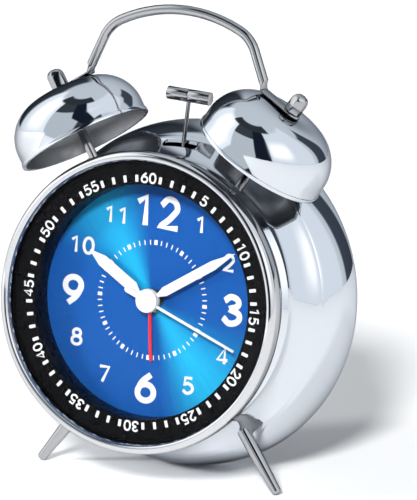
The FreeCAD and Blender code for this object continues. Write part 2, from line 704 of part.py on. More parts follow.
def build_handle():
    """Bent rod whose flattened ends lie on the bells under the cap nuts."""
    body = new_body("HandleRod")
    path = new_sketch(body, "HandlePath", UPRIGHT_PLANE)
    handle_path(path)
    section = new_sketch(body, "HandleSection", "YZ_Plane")
    draw_circle(section, ("0", "HandleTop"), "HandleRadius")
    doc.recompute()
    pipe = body.newObject("PartDesign::AdditivePipe", "HandlePipe")
    pipe.Profile = section
    pipe.Spine = (path, [])
    doc.recompute()
    mirrored = body.newObject("PartDesign::Mirrored", "HandleMirrored")
    mirrored.Originals = [pipe]
    mirrored.MirrorPlane = (plane_of(body, "YZ_Plane"), [""])
    body.Tip = mirrored
    doc.recompute()
    tabs, holes = [], []
    for side in (-1, 1):
        seat = along_radius(side * size("BellTilt"), "0", "0")
        inner = "%d * TabReach" % -side
        bar = block("TabBar%d" % side, ("min(%s; 0)" % inner, "-TabWidth / 2", TAB_BASE),
                    ("max(%s; 0)" % inner, "TabWidth / 2", CAP_BASE))
        tip = rod("TabTip%d" % side, "TabWidth / 2", "TabThickness", seat_at("0", "0", TAB_BASE))
        knee = rod("TabKnee%d" % side, "HandleRadius - PartGap", "TabWidth * 0.8",
                   along_depth(inner, "-TabWidth * 0.4", "0").multiply(seat_at("0", "-(%s)" % LEG_FOOT, "0")))
        tab = joined("Tab%d" % side, [bar, tip, knee])
        hole = rod("TabHole%d" % side, "PostRadius + PartGap", "4 * TabThickness",
                   seat.multiply(seat_at("0", "0", TAB_BASE + " - TabThickness")))
        tab.Placement = seat
        tabs.append(tab)
        holes.append(hole)
    handle = drilled("Handle", joined("HandleSolid", [body] + tabs), holes)
    keep("handle", handle, seat_at("0", "BellDepth", "0"))


def foot_end():
    """Length that sets the leaning clock on its feet and on the drum's lower edge together."""
    lean = "LeanAngle * 1 deg"
    fall = "(cos(FootAngle * 1 deg) * cos(%s))" % lean
    drum = "(%s * cos(%s) + BulgeBack * sin(%s) + RimCurve)" % (RIM_CENTRE, lean, lean)
    rounded = "FootRounding + (FootTipRadius - FootRounding) * sqrt(1 - %s^2)" % fall
    tip = "(FootDepth * sin(%s) + %s)" % (lean, rounded)
    return "FootRounding + (%s - %s) / %s" % (drum, tip, fall)


def build_feet():
    """Two tapered rods screwed into the flare."""
    end = foot_end()
    nuts, seats = [], []
    for side, name in ((-1, "left"), (1, "right")):
        corners = [
            ("0", "FootStart - FootStudLength"),
            ("FootStud", "FootStart - FootStudLength"),
            ("FootStud", "FootStart"),
            ("FootRadius", "FootStart"),
            ("FootRadius", end + " - FootTaper"),
            ("FootTipRadius", end + " - FootRounding", "FootRounding", -1),
            ("FootTipRadius - FootRounding", end),
            ("0", end),
        ]
        seat = along_radius(180 - side * size("FootAngle"), "FootDepth", "0")
        keep("foot_" + name, turned("Foot" + name, corners, UPRIGHT_PLANE), seat)
        nuts.append(plain_nut("FootNut" + name, "NutFlats", "FootStud", "FootStart - 3.5", "2.4"))
        seats.append(seat)
    keep("foot_nuts", gathered("FootNuts", place_all(nuts, seats)))


def hammer_seat():
    """Hammer's own frame: the pivot at its origin and the rod along Z."""
    return seat_at("0", "HammerDepth", "HammerPivot", AXIS_Y, size("HammerLean"))


def build_hammer():
    """Head, rod with its hub, and the iron plate that the striker's magnet pulls."""
    hub_length = 6.4
    hub = rod("HammerHub", "PinRadius + 1.4", hub_length, along_depth("0", -hub_length / 2, "0"))
    stem = rod("HammerStem", "RodRadius", "HammerReach", seat_at("0", "0", "0"))
    bore = rod("HammerBore", "PinRadius + RunningFit", 2 * hub_length, along_depth("0", -hub_length, "0"))
    keep("hammer_rod", drilled("HammerRod", joined("HammerRodSolid", [hub, stem]), [bore]), hammer_seat())
    head = rod("HammerHeadBar", "HammerRadius", "HammerLength",
               FreeCAD.Placement(FreeCAD.Vector(-size("HammerLength") / 2, 0, size("HammerReach")),
                                 FreeCAD.Rotation(AXIS_Y, 90)))
    socket = rod("HammerSocket", "RodRadius", "HammerReach", seat_at("0", "0", "0"))
    keep("hammer_head", drilled("HammerHead", head, [socket]), hammer_seat())
    plate = block("ArmatureBlock", ("-RodRadius - 1.4", "-3", "4"), ("-RodRadius", "3", "10"))
    keep("hammer_armature", gathered("HammerArmature", [plate]), hammer_seat())


def build_striker():
    """Bracket on the movement, pivot pin, and the electromagnet that swings the hammer."""
    base = "MovementSide / 2"
    plate = block("StrikerBase", ("-21", "HammerDepth - 6", base), ("5", "HammerDepth + 3.3", base + " + 1"))
    ears = [block("StrikerEar%d" % side,
                  ("-3", "HammerDepth + %s" % low, base), ("3", "HammerDepth + %s" % high, "HammerPivot + 3"))
            for side, low, high in ((-1, "-4.6", "-3.4"), (1, "3.4", "4.6"))]
    upright = block("StrikerUpright", ("-21", "HammerDepth - 4", base),
                    ("-19.8", "HammerDepth + 3.3", "HammerPivot + 9"))
    pin_hole = rod("StrikerPinHole", "PinRadius", 12, along_depth("0", "HammerDepth - 6", "HammerPivot"))
    core_height = "HammerPivot + 6.5"
    core_hole = rod("StrikerCoreHole", "1.8", 4,
                    FreeCAD.Placement(FreeCAD.Vector(-22, size("HammerDepth"), size(core_height)),
                                      FreeCAD.Rotation(AXIS_Y, 90)))
    solid = joined("StrikerBracketSolid", [plate, upright] + ears)
    keep("striker_bracket", drilled("StrikerBracket", solid, [pin_hole, core_hole]))
    keep("striker_pin", rod("StrikerPin", "PinRadius", 9.2,
                            along_depth("0", "HammerDepth - 4.6", "HammerPivot")))
    core = turned("StrikerCore", ring_outline("0", "1.8", "-21", "-5.8"), UPRIGHT_PLANE)
    coil = turned("StrikerCoil", ring_outline("1.8", "4.4", "-19.6", "-8"), UPRIGHT_PLANE)
    for label, item in (("striker_core", core), ("striker_coil", coil)):
        keep(label, item, seat_at("0", "HammerDepth", core_height, AXIS_Y, 90))


def stepped_outline(bore, steps):
    """Corners of an arbor or pipe: steps of (radius, front, back), from front to back."""
    corners = [(bore, steps[0][1])]
    for radius, front, back in steps:
        corners += [(radius, front), (radius, back)]
    return corners + [(bore, steps[-1][2])]


def cut_teeth(body, name, radius, count, front, length):
    """Notch a wheel's rim evenly, leaving its teeth."""
    half = "(%s) * %r" % (radius, 0.55 * math.pi / count)
    notch = [("(%s) + 0.2" % radius, "-" + half), ("(%s) + 0.2" % radius, half),
             ("(%s) - ToothDepth" % radius, "0")]
    pocket = pad(body, name, lambda sketch: draw_outline(sketch, notch), length,
                 UPRIGHT_PLANE, "-(%s)" % front, cut=True)
    pattern_round(body, pocket, count)


def wheel(label, bore, steps, teeth, seat=None):
    """A wheel with its arbor or pipe; teeth lists (pitch radius, count, front) of its toothed rims."""
    name = label.title().replace("_", "")
    body = turned(name, stepped_outline(bore, steps))
    for index, (pitch, count, front) in enumerate(teeth):
        cut_teeth(body, "%sTeeth%d" % (name, index), "%s - MeshGap" % pitch, count, front, "WheelThickness")
    return keep(label, body, seat)


def rim(pitch, front):
    """A toothed rim's step."""
    return ("%s - MeshGap" % pitch, str(front), "%s + WheelThickness" % front)


ALARM_RIM, HOUR_RIM, MOTION_RIM, MINUTE_RIM = 13.6, 15.2, 17.0, 18.4
FOURTH_RIM, SECOND_RIM, THIRD_RIM = 20.1, 21.6, 23.4
MINUTE_PITCH, STEM_PITCH = 8.82, 4.41
ARBOR_END = "MovementBack - MovementWall - 0.3"


def hand_front(rise):
    return "DialDepth - %s" % rise


def build_hand_wheels():
    """The wheels on the clock's axis, each with the pipe or arbor of its hand."""
    wheel("second_wheel", "0", [
        ("ArborRadius", hand_front("CapRise") + " + 0.3", "20"), ("1.11 - MeshGap", "20", "21.1"),
        ("ArborRadius", "21.1", str(SECOND_RIM)), rim(8.0, SECOND_RIM),
        ("ArborRadius", "%s + WheelThickness" % SECOND_RIM, ARBOR_END),
    ], [(8.0, 50, SECOND_RIM)])
    wheel("minute_wheel", MINUTE_BORE, [
        (MINUTE_PIPE, hand_front("MinuteHandRise"), "16.8"), ("2.7 - MeshGap", "16.8", "18.1"),
        (MINUTE_PIPE, "18.1", str(MINUTE_RIM)), rim(MINUTE_PITCH, MINUTE_RIM),
    ], [(MINUTE_PITCH, 60, MINUTE_RIM)])
    wheel("hour_wheel", HOUR_BORE, [
        (HOUR_PIPE, hand_front("HourHandRise"), str(HOUR_RIM)), rim(8.64, HOUR_RIM),
    ], [(8.64, 40, HOUR_RIM)])
    wheel("alarm_wheel", ALARM_BORE, [
        (ALARM_PIPE, hand_front("AlarmHandRise"), str(ALARM_RIM)), rim(MINUTE_PITCH, ALARM_RIM),
    ], [(MINUTE_PITCH, 60, ALARM_RIM)])


def build_train():
    """The wheels beside the axis: motion work, the train from the rotor, and the rotor."""
    wheel("motion_wheel", "0", [
        ("0.6", "14.9", str(HOUR_RIM)), rim(2.16, HOUR_RIM), ("0.6", "%s + WheelThickness" % HOUR_RIM, "17"),
        rim(8.1, MOTION_RIM), ("0.6", "%s + WheelThickness" % MOTION_RIM, "18.2"),
    ], [(2.16, 10, HOUR_RIM), (8.1, 36, MOTION_RIM)], seat_at("0", "0", "-10.8"))
    wheel("fourth_wheel", "0", [
        ("0.6", "18", str(MINUTE_RIM)), rim(1.18, MINUTE_RIM),
        ("0.6", "%s + WheelThickness" % MINUTE_RIM, str(FOURTH_RIM)), rim(8.89, FOURTH_RIM),
        ("0.6", "%s + WheelThickness" % FOURTH_RIM, "21.4"),
    ], [(8.89, 64, FOURTH_RIM)], seat_at("10 * cos(30 deg)", "0", "-10 * sin(30 deg)"))
    wheel("third_wheel", "0", [
        ("0.6", "21.3", str(SECOND_RIM)), rim(1.6, SECOND_RIM),
        ("0.6", "%s + WheelThickness" % SECOND_RIM, str(THIRD_RIM)), rim(7.2, THIRD_RIM),
        ("0.6", "%s + WheelThickness" % THIRD_RIM, ARBOR_END),
    ], [(7.2, 48, THIRD_RIM)], seat_at("-9.6 * cos(30 deg)", "0", "-9.6 * sin(30 deg)"))
    wheel("rotor", "0", [
        ("0.4", "18.2", "18.6"), ("3", "18.6", "21.4"), ("0.4", "21.4", str(THIRD_RIM)),
        rim(1.2, THIRD_RIM), ("0.4", "%s + WheelThickness" % THIRD_RIM, ARBOR_END),
    ], [], seat_at("-18 * cos(30 deg)", "0", "-18 * sin(30 deg)"))


def build_motor():
    """Stator with the bar through its coil, the coil, and the circuit board."""
    plate = block("StatorPlate", ("-25", "19.6", "-25.5"), ("-5", "20.4", "-4.6"))
    window = block("StatorWindow", ("-22.5", "19", "-26"), ("-7.5", "21", "-18.2"))
    bore = rod("StatorBore", "3.4", 3, along_depth("-18 * cos(30 deg)", "18.5", "-18 * sin(30 deg)"))
    bar = block("StatorBar", ("-25", "19.2", "-22.8"), ("-5", "20.8", "-21.2"))
    keep("stator", joined("Stator", [drilled("StatorSheet", plate, [window, bore]), bar]))
    winding = rod("CoilWinding", "3.1", "14.4", FreeCAD.Placement(
        FreeCAD.Vector(-22.2, 20, -22), FreeCAD.Rotation(AXIS_Y, 90)))
    core_space = block("CoilSpace", ("-25", "19.2", "-22.8"), ("-5", "20.8", "-21.2"))
    keep("coil", drilled("Coil", winding, [core_space]))
    board = block("BoardBlock", ("4", "23", "-25"), ("25", "24", "-16"))
    keep("circuit_board", gathered("CircuitBoard", [board]))


def build_movement_case():
    """Two halves of the movement's housing, its threaded bush and the nut on the dial."""
    side, inner = "MovementSide / 2", "MovementSide / 2 - MovementWall"
    front = block("HousingFront", ("-" + side, "MovementFront", "-" + side), (side, "MovementSplit", side))
    space = block("HousingFrontSpace", ("-(%s)" % inner, "MovementFront + MovementWall", "-(%s)" % inner),
                  (inner, "MovementSplit + 1", inner))
    hole = rod("BushHole", "BushRadius", 4, along_depth("0", "MovementFront - 1", "0"))
    keep("movement_front", drilled("MovementFrontHalf", front, [space, hole]))
    back = block("HousingBack", ("-" + side, "MovementSplit", "-" + side), (side, "MovementBack", side))
    hollow = block("HousingBackSpace", ("-(%s)" % inner, "MovementSplit - 1", "-(%s)" % inner),
                   (inner, "MovementBack - MovementWall", inner))
    bores = [rod("StemBore%d" % turn, "StemRadius + RunningFit", 4,
                 on_depth_axis(stem_place(turn), "MovementBack - 2")) for turn in (-1, 1)]
    keep("movement_back", drilled("MovementBackHalf", back, [hollow] + bores))
    bush = stepped_outline(BUSH_BORE, [
        ("BushRadius", hand_front("AlarmHandRise") + " + HandThickness + 0.4",
         "MovementFront + MovementWall"),
        ("1.5 * BushRadius", "MovementFront + MovementWall", "MovementFront + MovementWall + 0.4")])
    keep("dial_bush", turned("DialBush", bush))
    nut = plain_nut("DialNut", "8", "BushRadius", "0", "1.3")
    keep("dial_nut", nut, along_depth("0", "DialDepth - 1.3", "0"))


def blade_outline(length, width, point):
    """Half-symmetric hand: a neck from the hub, a blade with straight sides and a long point."""
    half = [("NeckWidth / 2", "HubRadius - 1"), ("NeckWidth / 2", "HubRadius + NeckWidth / 2"),
            ("%s / 2" % width, "HandBladeStart"), ("%s / 2" % width, "%s - %s" % (length, point))]
    mirrored = [("-(%s)" % x, z) for x, z in half]
    return half + [("0", length)] + mirrored[::-1]


def build_hand(label, rise, hub, bore, outlines, angle):
    """A pressed hand: a hub disc with its hole and one or two arms, turned to its place."""
    name = label.title().replace("_", "")
    back = hand_front(rise) + " + HandThickness"
    body = turned(name, ring_outline(bore, hub, hand_front(rise), back))
    for index, outline in enumerate(outlines):
        pad(body, "%sArm%d" % (name, index), lambda sketch: draw_outline(sketch, outline),
            "HandThickness", UPRIGHT_PLANE, "-(%s)" % back)
    keep(label, body, seat_at("0", "0", "0", AXIS_Y, size(angle)))


def build_hands():
    hour = blade_outline("HourHandLength", "HourHandWidth", "HourHandPoint")
    minute = blade_outline("MinuteHandLength", "MinuteHandWidth", "MinuteHandPoint")
    build_hand("hour_hand", "HourHandRise", "HubRadius", HOUR_PIPE, [hour], "HourHandAngle")
    build_hand("minute_hand", "MinuteHandRise", "HubRadius", MINUTE_PIPE, [minute], "MinuteHandAngle")
    alarm = rectangle("-AlarmHandWidth / 2", "2.4", "AlarmHandWidth / 2", "AlarmHandLength")
    build_hand("alarm_hand", "AlarmHandRise", "HubRadius - 1.2", ALARM_PIPE, [alarm], "AlarmHandAngle")
    needle = rectangle("-SecondHandWidth / 2", "1", "SecondHandWidth / 2", "SecondHandLength")
    tail_side = "SecondTailWidth / 2"
    tail = [("-(%s)" % tail_side, "-1"), ("-(%s)" % tail_side, "1 - SecondTail", "1.1", -1),
            (tail_side, "1 - SecondTail"), (tail_side, "-1")]
    build_hand("second_hand", "SecondHandRise", "1.6", "ArborRadius", [needle, tail], "SecondHandAngle")
    cap = [("0", hand_front("CapRise")), ("CapRadius - 0.3", hand_front("CapRise")),
           ("CapRadius", hand_front("CapRise") + " + 0.3"),
           ("CapRadius", hand_front("SecondHandRise")), ("ArborRadius", hand_front("SecondHandRise")),
           ("ArborRadius", hand_front("CapRise") + " + 0.3"), ("0", hand_front("CapRise") + " + 0.3")]
    keep("hub_cap", turned("HubCap", cap))


def build_setting(side, name, pinion_front):
    """A setting stem with its pinion, and the knurled knob on its end."""
    knob_front = COVER_BACK + " + 0.5"
    place = stem_place(side)
    seat = seat_at(place[0], "0", place[1])
    wheel(name + "_stem", "0", [
        rim(STEM_PITCH, pinion_front),
        ("StemRadius", "%s + WheelThickness" % pinion_front, knob_front + " + 4"),
    ], [(STEM_PITCH, 30, pinion_front)], seat)
    corners = [
        ("StemRadius", knob_front), ("KnobRadius", knob_front),
        ("KnobRadius", knob_front + " + KnobHeight - 0.6"),
        ("KnobRadius - 0.6", knob_front + " + KnobHeight"), ("0", knob_front + " + KnobHeight"),
        ("0", knob_front + " + 4"), ("StemRadius", knob_front + " + 4"),
    ]
    title = name.title() + "Knob"
    knob = turned(title, corners)
    notch = [("KnobRadius - 0.5", "0"), ("KnobRadius + 0.3", "-0.5"), ("KnobRadius + 0.3", "0.5")]
    groove = pad(knob, title + "Grip", lambda sketch: draw_outline(sketch, notch), "KnobHeight + 1",
                 UPRIGHT_PLANE, "-(%s)" % (knob_front + " + 0.8"), cut=True)
    pattern_round(knob, groove, 30)
    keep(name + "_knob", knob, seat)


def build_switch():
    """Alarm switch: a channel behind the cover and the slider whose button comes through the slot."""
    channel = block("SwitchBody", ("-9", "44", "SwitchHeight - 4.5"),
                    ("9", "CoverFront", "SwitchHeight + 4.5"))
    space = block("SwitchSpace", ("-10", "48.4", "SwitchHeight - 3.3"),
                  ("10", "CoverFront + 1", "SwitchHeight + 3.3"))
    keep("switch_body", drilled("SwitchChannel", channel, [space]))
    base = block("SliderBase", ("-4.5", "48.7", "-3"), ("4.5", "CoverFront - 0.3", "3"))
    nub = block("SliderNub", ("-SwitchNub / 2", "CoverFront - 0.3", "0.3 - SwitchWidth / 2"),
                ("SwitchNub / 2", COVER_BACK + " + 1.8", "SwitchWidth / 2 - 0.3"))
    rest = seat_at("-SwitchTravel / 2", "0", "SwitchHeight")
    keep("switch_slider", joined("SwitchSlider", [base, nub]), rest)


def build_battery_bay():
    """Tray, three cells, their contacts and the door."""
    low, high = bay_box("BayWall")
    tray = block("TrayBlock", (low[0], "BayFront - BayWall", low[1]), (high[0], "CoverFront", high[1]))
    low, high = bay_box("0")
    space = block("TraySpace", (low[0], "BayFront", low[1]), (high[0], "CoverFront + 1", high[1]))
    keep("battery_tray", drilled("BatteryTray", tray, [space]))
    low, high = bay_box("-DoorGap")
    door = block("DoorPlate", (low[0], COVER_BACK + " - DoorThickness", low[1]),
                 (high[0], COVER_BACK, high[1]))
    grip = rod("DoorGrip", "6", "12", seat_at("0", COVER_BACK + " + 5.2", "-CellTop - 2 * CellPitch"))
    keep("battery_door", drilled("BatteryDoor", door, [grip]))
    springs, bumps = [], []
    for index in range(3):
        height = "-CellTop - %d * CellPitch" % index
        facing = 1 if index % 2 else -1
        turn = FreeCAD.Rotation(AXIS_Y, 90 * facing)
        seat = FreeCAD.Placement(FreeCAD.Vector(0, size("CellDepth"), size(height)), turn)
        body = turned("Cell%d" % index, stepped_outline("0", [
            ("CellRadius", "-CellLength / 2", "CellLength / 2 - 1"),
            ("2.7", "CellLength / 2 - 1", "CellLength / 2")]), UPRIGHT_PLANE)
        keep("cell_%d" % (index + 1), body, seat)
        springs.append(turned("ContactSpring%d" % index, [
            ("0", "-BayHalfWidth"), ("5", "-BayHalfWidth"), ("5", "0.4 - BayHalfWidth"),
            ("4", "0.4 - BayHalfWidth"), ("2.2", "-CellLength / 2"), ("0", "-CellLength / 2"),
        ], UPRIGHT_PLANE))
        bumps.append(turned("ContactPlate%d" % index, [
            ("0", "CellLength / 2"), ("2", "CellLength / 2"), ("3", "BayHalfWidth - 0.4"),
            ("5", "BayHalfWidth - 0.4"), ("5", "BayHalfWidth"), ("0", "BayHalfWidth")], UPRIGHT_PLANE))
        springs[-1].Placement = bumps[-1].Placement = seat
    keep("contact_springs", gathered("ContactSprings", springs))
    keep("contact_plates", gathered("ContactPlates", bumps))


def stand_on_floor():
    """Lean the whole clock back and put the middle of its footprint at the origin."""
    lean = FreeCAD.Placement(ZERO, FreeCAD.Rotation(AXIS_X, -size("LeanAngle")))
    box = FreeCAD.BoundBox()
    for item, seat in subparts:
        shape = item.Shape.copy()
        shape.Placement = lean.multiply(seat).multiply(shape.Placement)
        box.add(shape.optimalBoundingBox(False))
    shift = FreeCAD.Placement(FreeCAD.Vector(0, -(box.YMin + box.YMax) / 2, -box.ZMin), FreeCAD.Rotation())
    for item, seat in subparts:
        item.Placement = shift.multiply(lean).multiply(seat).multiply(item.Placement)
    doc.recompute()
    print("upright origin moved by", shift.Base, "overall", box.XLength, box.YLength, box.ZLength)


def check_and_write():
    """Refuse a failed feature or an invalid solid, then write one file for each piece."""
    for item in doc.Objects:
        if {"Invalid", "Error"} & set(item.State):
            raise RuntimeError("%s did not build: %s" % (item.Name, item.State))
    for item, seat in subparts:
        if item.Shape.isNull() or not item.Shape.isValid() or not item.Shape.Solids:
            raise RuntimeError("%s has no valid solid" % item.Label)
    os.makedirs("parts", exist_ok=True)
    for item, seat in subparts:
        item.Shape.exportStep("parts/%s.step" % item.Label)
    print("%d pieces written" % len(subparts))


def main():
    fill_sheet()
    build_bezel()
    build_lens()
    build_dial()
    build_front_shell()
    build_rear_shell()
    build_rear_cover()
    build_cover_screws()
    build_bells()
    build_handle()
    build_feet()
    build_hammer()
    build_striker()
    build_hand_wheels()
    build_train()
    build_motor()
    build_movement_case()
    build_hands()
    build_setting(1, "time", MINUTE_RIM)
    build_setting(-1, "alarm", ALARM_RIM)
    build_switch()
    build_battery_bay()
    stand_on_floor()
    check_and_write()


main()
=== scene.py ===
"""Looks of a chrome twin-bell alarm clock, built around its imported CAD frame."""

import json
import math

import bmesh
import bpy
from bpy.props import FloatProperty, FloatVectorProperty, PointerProperty
from mathutils import Matrix, Vector


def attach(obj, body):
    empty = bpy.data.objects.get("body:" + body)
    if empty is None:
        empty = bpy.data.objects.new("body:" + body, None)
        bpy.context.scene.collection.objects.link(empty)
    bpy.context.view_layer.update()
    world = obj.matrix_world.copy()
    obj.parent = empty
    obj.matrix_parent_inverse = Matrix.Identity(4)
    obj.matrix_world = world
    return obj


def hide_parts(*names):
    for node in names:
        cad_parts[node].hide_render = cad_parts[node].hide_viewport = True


bl_info = {
    "name": "Twin-bell alarm clock",
    "version": (1, 0, 0),
    "blender": (4, 5, 0),
    "location": "View3D > Sidebar > Alarm clock",
    "description": "Builds a chrome twin-bell alarm clock round its CAD frame",
    "category": "Object",
}

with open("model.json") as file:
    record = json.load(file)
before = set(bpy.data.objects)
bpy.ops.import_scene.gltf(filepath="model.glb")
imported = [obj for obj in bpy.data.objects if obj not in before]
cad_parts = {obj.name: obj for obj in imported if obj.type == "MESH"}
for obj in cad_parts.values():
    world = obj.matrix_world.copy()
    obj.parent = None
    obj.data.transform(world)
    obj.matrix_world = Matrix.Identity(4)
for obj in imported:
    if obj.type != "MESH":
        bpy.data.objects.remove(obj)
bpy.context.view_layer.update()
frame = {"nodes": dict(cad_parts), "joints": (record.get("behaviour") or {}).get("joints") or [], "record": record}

MM = 0.001
FULL_TURN = 2 * math.pi
RIGHT_ANGLE = math.pi / 2
TURN_STEPS = 192          # facets round a large turned piece
ROD_STEPS = 64            # facets round a rod
HANDLE_STEPS = 48         # facets round the handle
THIN_STEPS = 32           # facets round the hammer's stem
ARC_STEP = math.radians(4)
SHARP = math.radians(28)  # edges steeper than this stay crisp
MERGE = 1e-7
PRINT = 0.04 * MM         # thickness of the printed marks
HAND_EDGE = 0.06 * MM     # rounding of the hands' edges
MINUTE_PIVOT = 20 * MM    # anchor of the minute hand's joint behind the minute ring
HAMMER_PIVOT = (0, 24 * MM, 32 * MM)


def joint(name):
    """A joint of the CAD frame by its name."""
    return next(entry for entry in frame["joints"] if entry["name"] == name)


def clock_frame():
    """The clock's own axes: X right, Y back along the hands' arbor, Z up the dial."""
    arbor = joint("minute_spin")
    right = Vector((1, 0, 0))
    back = Vector(arbor["axis"]).normalized()
    origin = Vector(arbor["pos_m"]) - back * MINUTE_PIVOT
    place = Matrix((right, back, right.cross(back))).transposed().to_4x4()
    place.translation = origin
    return place


CLOCK = clock_frame()
DEPTHWAYS = CLOCK @ Matrix.Rotation(-RIGHT_ANGLE, 4, "X")   # a turned piece's axis along the clock's depth


def length(name, value, description):
    """A size that a user would change."""
    return FloatProperty(name=name, description=description, default=value * MM, unit="LENGTH",
                         subtype="DISTANCE", precision=4)


def angle(name, value, description):
    """An angle that a user would change."""
    return FloatProperty(name=name, description=description, default=math.radians(value), unit="ROTATION",
                         subtype="ANGLE")


def colour(name, value, description):
    """A colour that a user would change."""
    return FloatVectorProperty(name=name, description=description, default=value, size=3, subtype="COLOR",
                               min=0, max=1)


class ClockSizes(bpy.types.PropertyGroup):
    """Sizes of the clock's visible pieces."""

    bezel: length("Bezel radius", 53.0, "Outside of the bezel")
    bezel_crest: length("Bezel crest", 51.0, "Radius of the bezel's foremost circle")
    bezel_inner: length("Bezel opening", 49.2, "Radius of the bezel's opening")
    bezel_rise: length("Bezel rise", 5.0, "Crest in front of the minute ring")
    seat: length("Seat", 50.5, "Pocket for the lens and the minute ring")
    ring_rim: length("Ring rim", 48.8, "Inside of the minute ring's raised rim")
    well: length("Well radius", 41.1, "Inside of the wall down to the dial")
    dial_depth: length("Dial depth", 9.8, "Dial's face behind the minute ring")
    dial: length("Dial radius", 43.0, "Dial plate")
    neck: length("Neck radius", 48.3, "Drum behind the bezel")
    neck_back: length("Neck back", 13.1, "End of the straight drum")
    step: length("Step radius", 50.2, "Step behind the drum")
    step_back: length("Step back", 16.5, "End of the step")
    crease: length("Crease radius", 57.4, "Seam between the shells")
    crease_back: length("Crease back", 27.7, "Depth of the seam between the shells")
    seam: length("Seam", 0.5, "Groove where the shells meet")
    flare_curve: length("Flare curve", 34.0, "Hollow curve of the flare")
    bulge: length("Bulge radius", 62.4, "Widest circle of the rear shell")
    bulge_back: length("Bulge back", 46.0, "Depth of the widest circle")
    rim_curve: length("Rim curve", 7.0, "Rounding of the rear edge")
    cover: length("Cover radius", 57.3, "Rear cover")
    sheet: length("Sheet", 0.8, "Wall of the pressed shells")
    bell_tilt: angle("Bell tilt", 32.5, "Bell axes from upright")
    bell_depth: length("Bell depth", 17.0, "Bells behind the minute ring")
    bell_rim: length("Bell rim height", 62.5, "Bell rim along its axis")
    bell: length("Bell radius", 24.2, "Bell rim")
    bell_height: length("Bell height", 19.7, "Rim to crown")
    bell_curve: length("Bell curve", 14.7, "Rounding from the side to the flat crown")
    post: length("Post radius", 1.6, "Bell post")
    post_start: length("Post start", 45.0, "Inner end of the post")
    post_end: length("Post end", 87.5, "Outer end of the post")
    handle: length("Handle radius", 1.75, "Handle rod")
    handle_top: length("Handle top", 101.85, "Top of the handle's centreline")
    handle_arch: length("Handle arch", 52.0, "Curve of the handle's top")
    handle_corner: length("Handle corner", 13.0, "Curve of the handle's corners")
    handle_lean: angle("Handle lean", 22.5, "Handle's legs from upright")
    tab_reach: length("Tab reach", 13.0, "Post to the handle's leg")
    tab_width: length("Tab width", 7.0, "Flattened end of the handle")
    tab_thickness: length("Tab thickness", 1.3, "Flattened end of the handle")
    foot: length("Foot radius", 2.3, "Foot rod")
    foot_tip: length("Foot tip radius", 1.75, "End of the foot")
    foot_angle: angle("Foot angle", 36.0, "Feet from straight down")
    foot_depth: length("Foot depth", 25.0, "Feet behind the minute ring")
    foot_taper: length("Foot taper", 16.0, "Tapered stretch of the foot")
    hammer: length("Hammer radius", 2.35, "Hammer head")
    hammer_length: length("Hammer length", 16.4, "Hammer head")
    hammer_reach: length("Hammer reach", 39.8, "Pivot to the head")
    hammer_lean: angle("Hammer lean", 3.3, "Hammer at rest, to the right")
    hour_angle: angle("Hour hand", 302.6, "Clockwise from twelve")
    minute_angle: angle("Minute hand", 57.7, "Clockwise from twelve")
    second_angle: angle("Second hand", 111.8, "Clockwise from twelve")
    alarm_angle: angle("Alarm hand", 174.6, "Clockwise from twelve")


class ClockColours(bpy.types.PropertyGroup):
    """Colours of the clock's finishes."""

    chrome: colour("Chrome", (0.70, 0.73, 0.77), "Polished plating of the bells and the case")
    # Darker than the chrome as painted shade: it stands in for the darker surroundings that the handle, hammer,
    # posts and feet reflect.
    rods: colour("Rods", (0.42, 0.42, 0.43), "Plating of the handle, the hammer, the posts and the feet")
    trim: colour("Trim", (0.66, 0.66, 0.67), "Plating of the bezel")
    ring: colour("Ring", (0.0015, 0.0015, 0.002), "Gloss black minute ring")
    dial: colour("Dial", (0.0055, 0.066, 0.27), "Blue of the brushed dial")
    # The bright wedges are painted highlights that stand in for the brushed dial's sheen.
    dial_light: colour("Dial, lit", (0.011, 0.31, 0.54), "Bright wedges of the brushed dial")
    white: colour("White", (0.62, 0.63, 0.64), "Hands and figures")
    red: colour("Red", (0.62, 0.012, 0.02), "Alarm hand")
    floor: colour("Floor", (0.94, 0.94, 0.94), "Plain pale floor")


def sizes():
    """The sizes in use."""
    return bpy.context.scene.clock_sizes


def colours():
    """The colours in use."""
    return bpy.context.scene.clock_colours


# ---------------- shaping


def arc_centre(start, end, radius, side):
    """Centre of an arc from start to end; side 1 bulges right of the travel."""
    half = (end - start) / 2
    inward = Vector((-half.y, half.x)).normalized() * side
    return start + half + inward * math.sqrt(max(radius ** 2 - half.length_squared, 0))


def trace(bm, corners, closed=True):
    """Draw an outline in the XZ plane. A corner is (x, z) or (x, z, radius, side) for an arc to the next."""
    first = bm.verts.new((corners[0][0], 0, corners[0][1]))
    last = first
    count = len(corners)
    for index in range(count if closed else count - 1):
        corner, following = corners[index], corners[(index + 1) % count]
        target = Vector(following[:2])
        if len(corner) > 2:
            start = Vector(corner[:2])
            centre = arc_centre(start, target, corner[2], corner[3])
            sweep = (start - centre).angle_signed(target - centre)
            steps = max(2, math.ceil(abs(sweep) / ARC_STEP))
            made = bmesh.ops.spin(bm, geom=[last], cent=(centre.x, 0, centre.y), axis=(0, 1, 0),
                                  angle=sweep, steps=steps)
            last = new_verts(made, "geom_last")[0]
        else:
            made = bmesh.ops.extrude_vert_indiv(bm, verts=[last])
            last = made["verts"][0]
        last.co = (target.x, 0, target.y)
    bmesh.ops.remove_doubles(bm, verts=bm.verts[:], dist=MERGE)


def crisp_edges(bm):
    """Edges between faces that meet steeply."""
    return [edge for edge in bm.edges if len(edge.link_faces) == 2 and edge.calc_face_angle(0) > SHARP]


def soften(bm, width, segments=2):
    """Break the crisp edges with a small round."""
    edges = crisp_edges(bm)
    if edges:
        bmesh.ops.bevel(bm, geom=edges, offset=width, offset_type="OFFSET", segments=segments, profile=0.5,
                        affect="EDGES", clamp_overlap=True, material=-1)


def new_object(name, data):
    """A new object, linked into the scene."""
    made = bpy.data.objects.new(name, data)
    bpy.context.collection.objects.link(made)
    return made


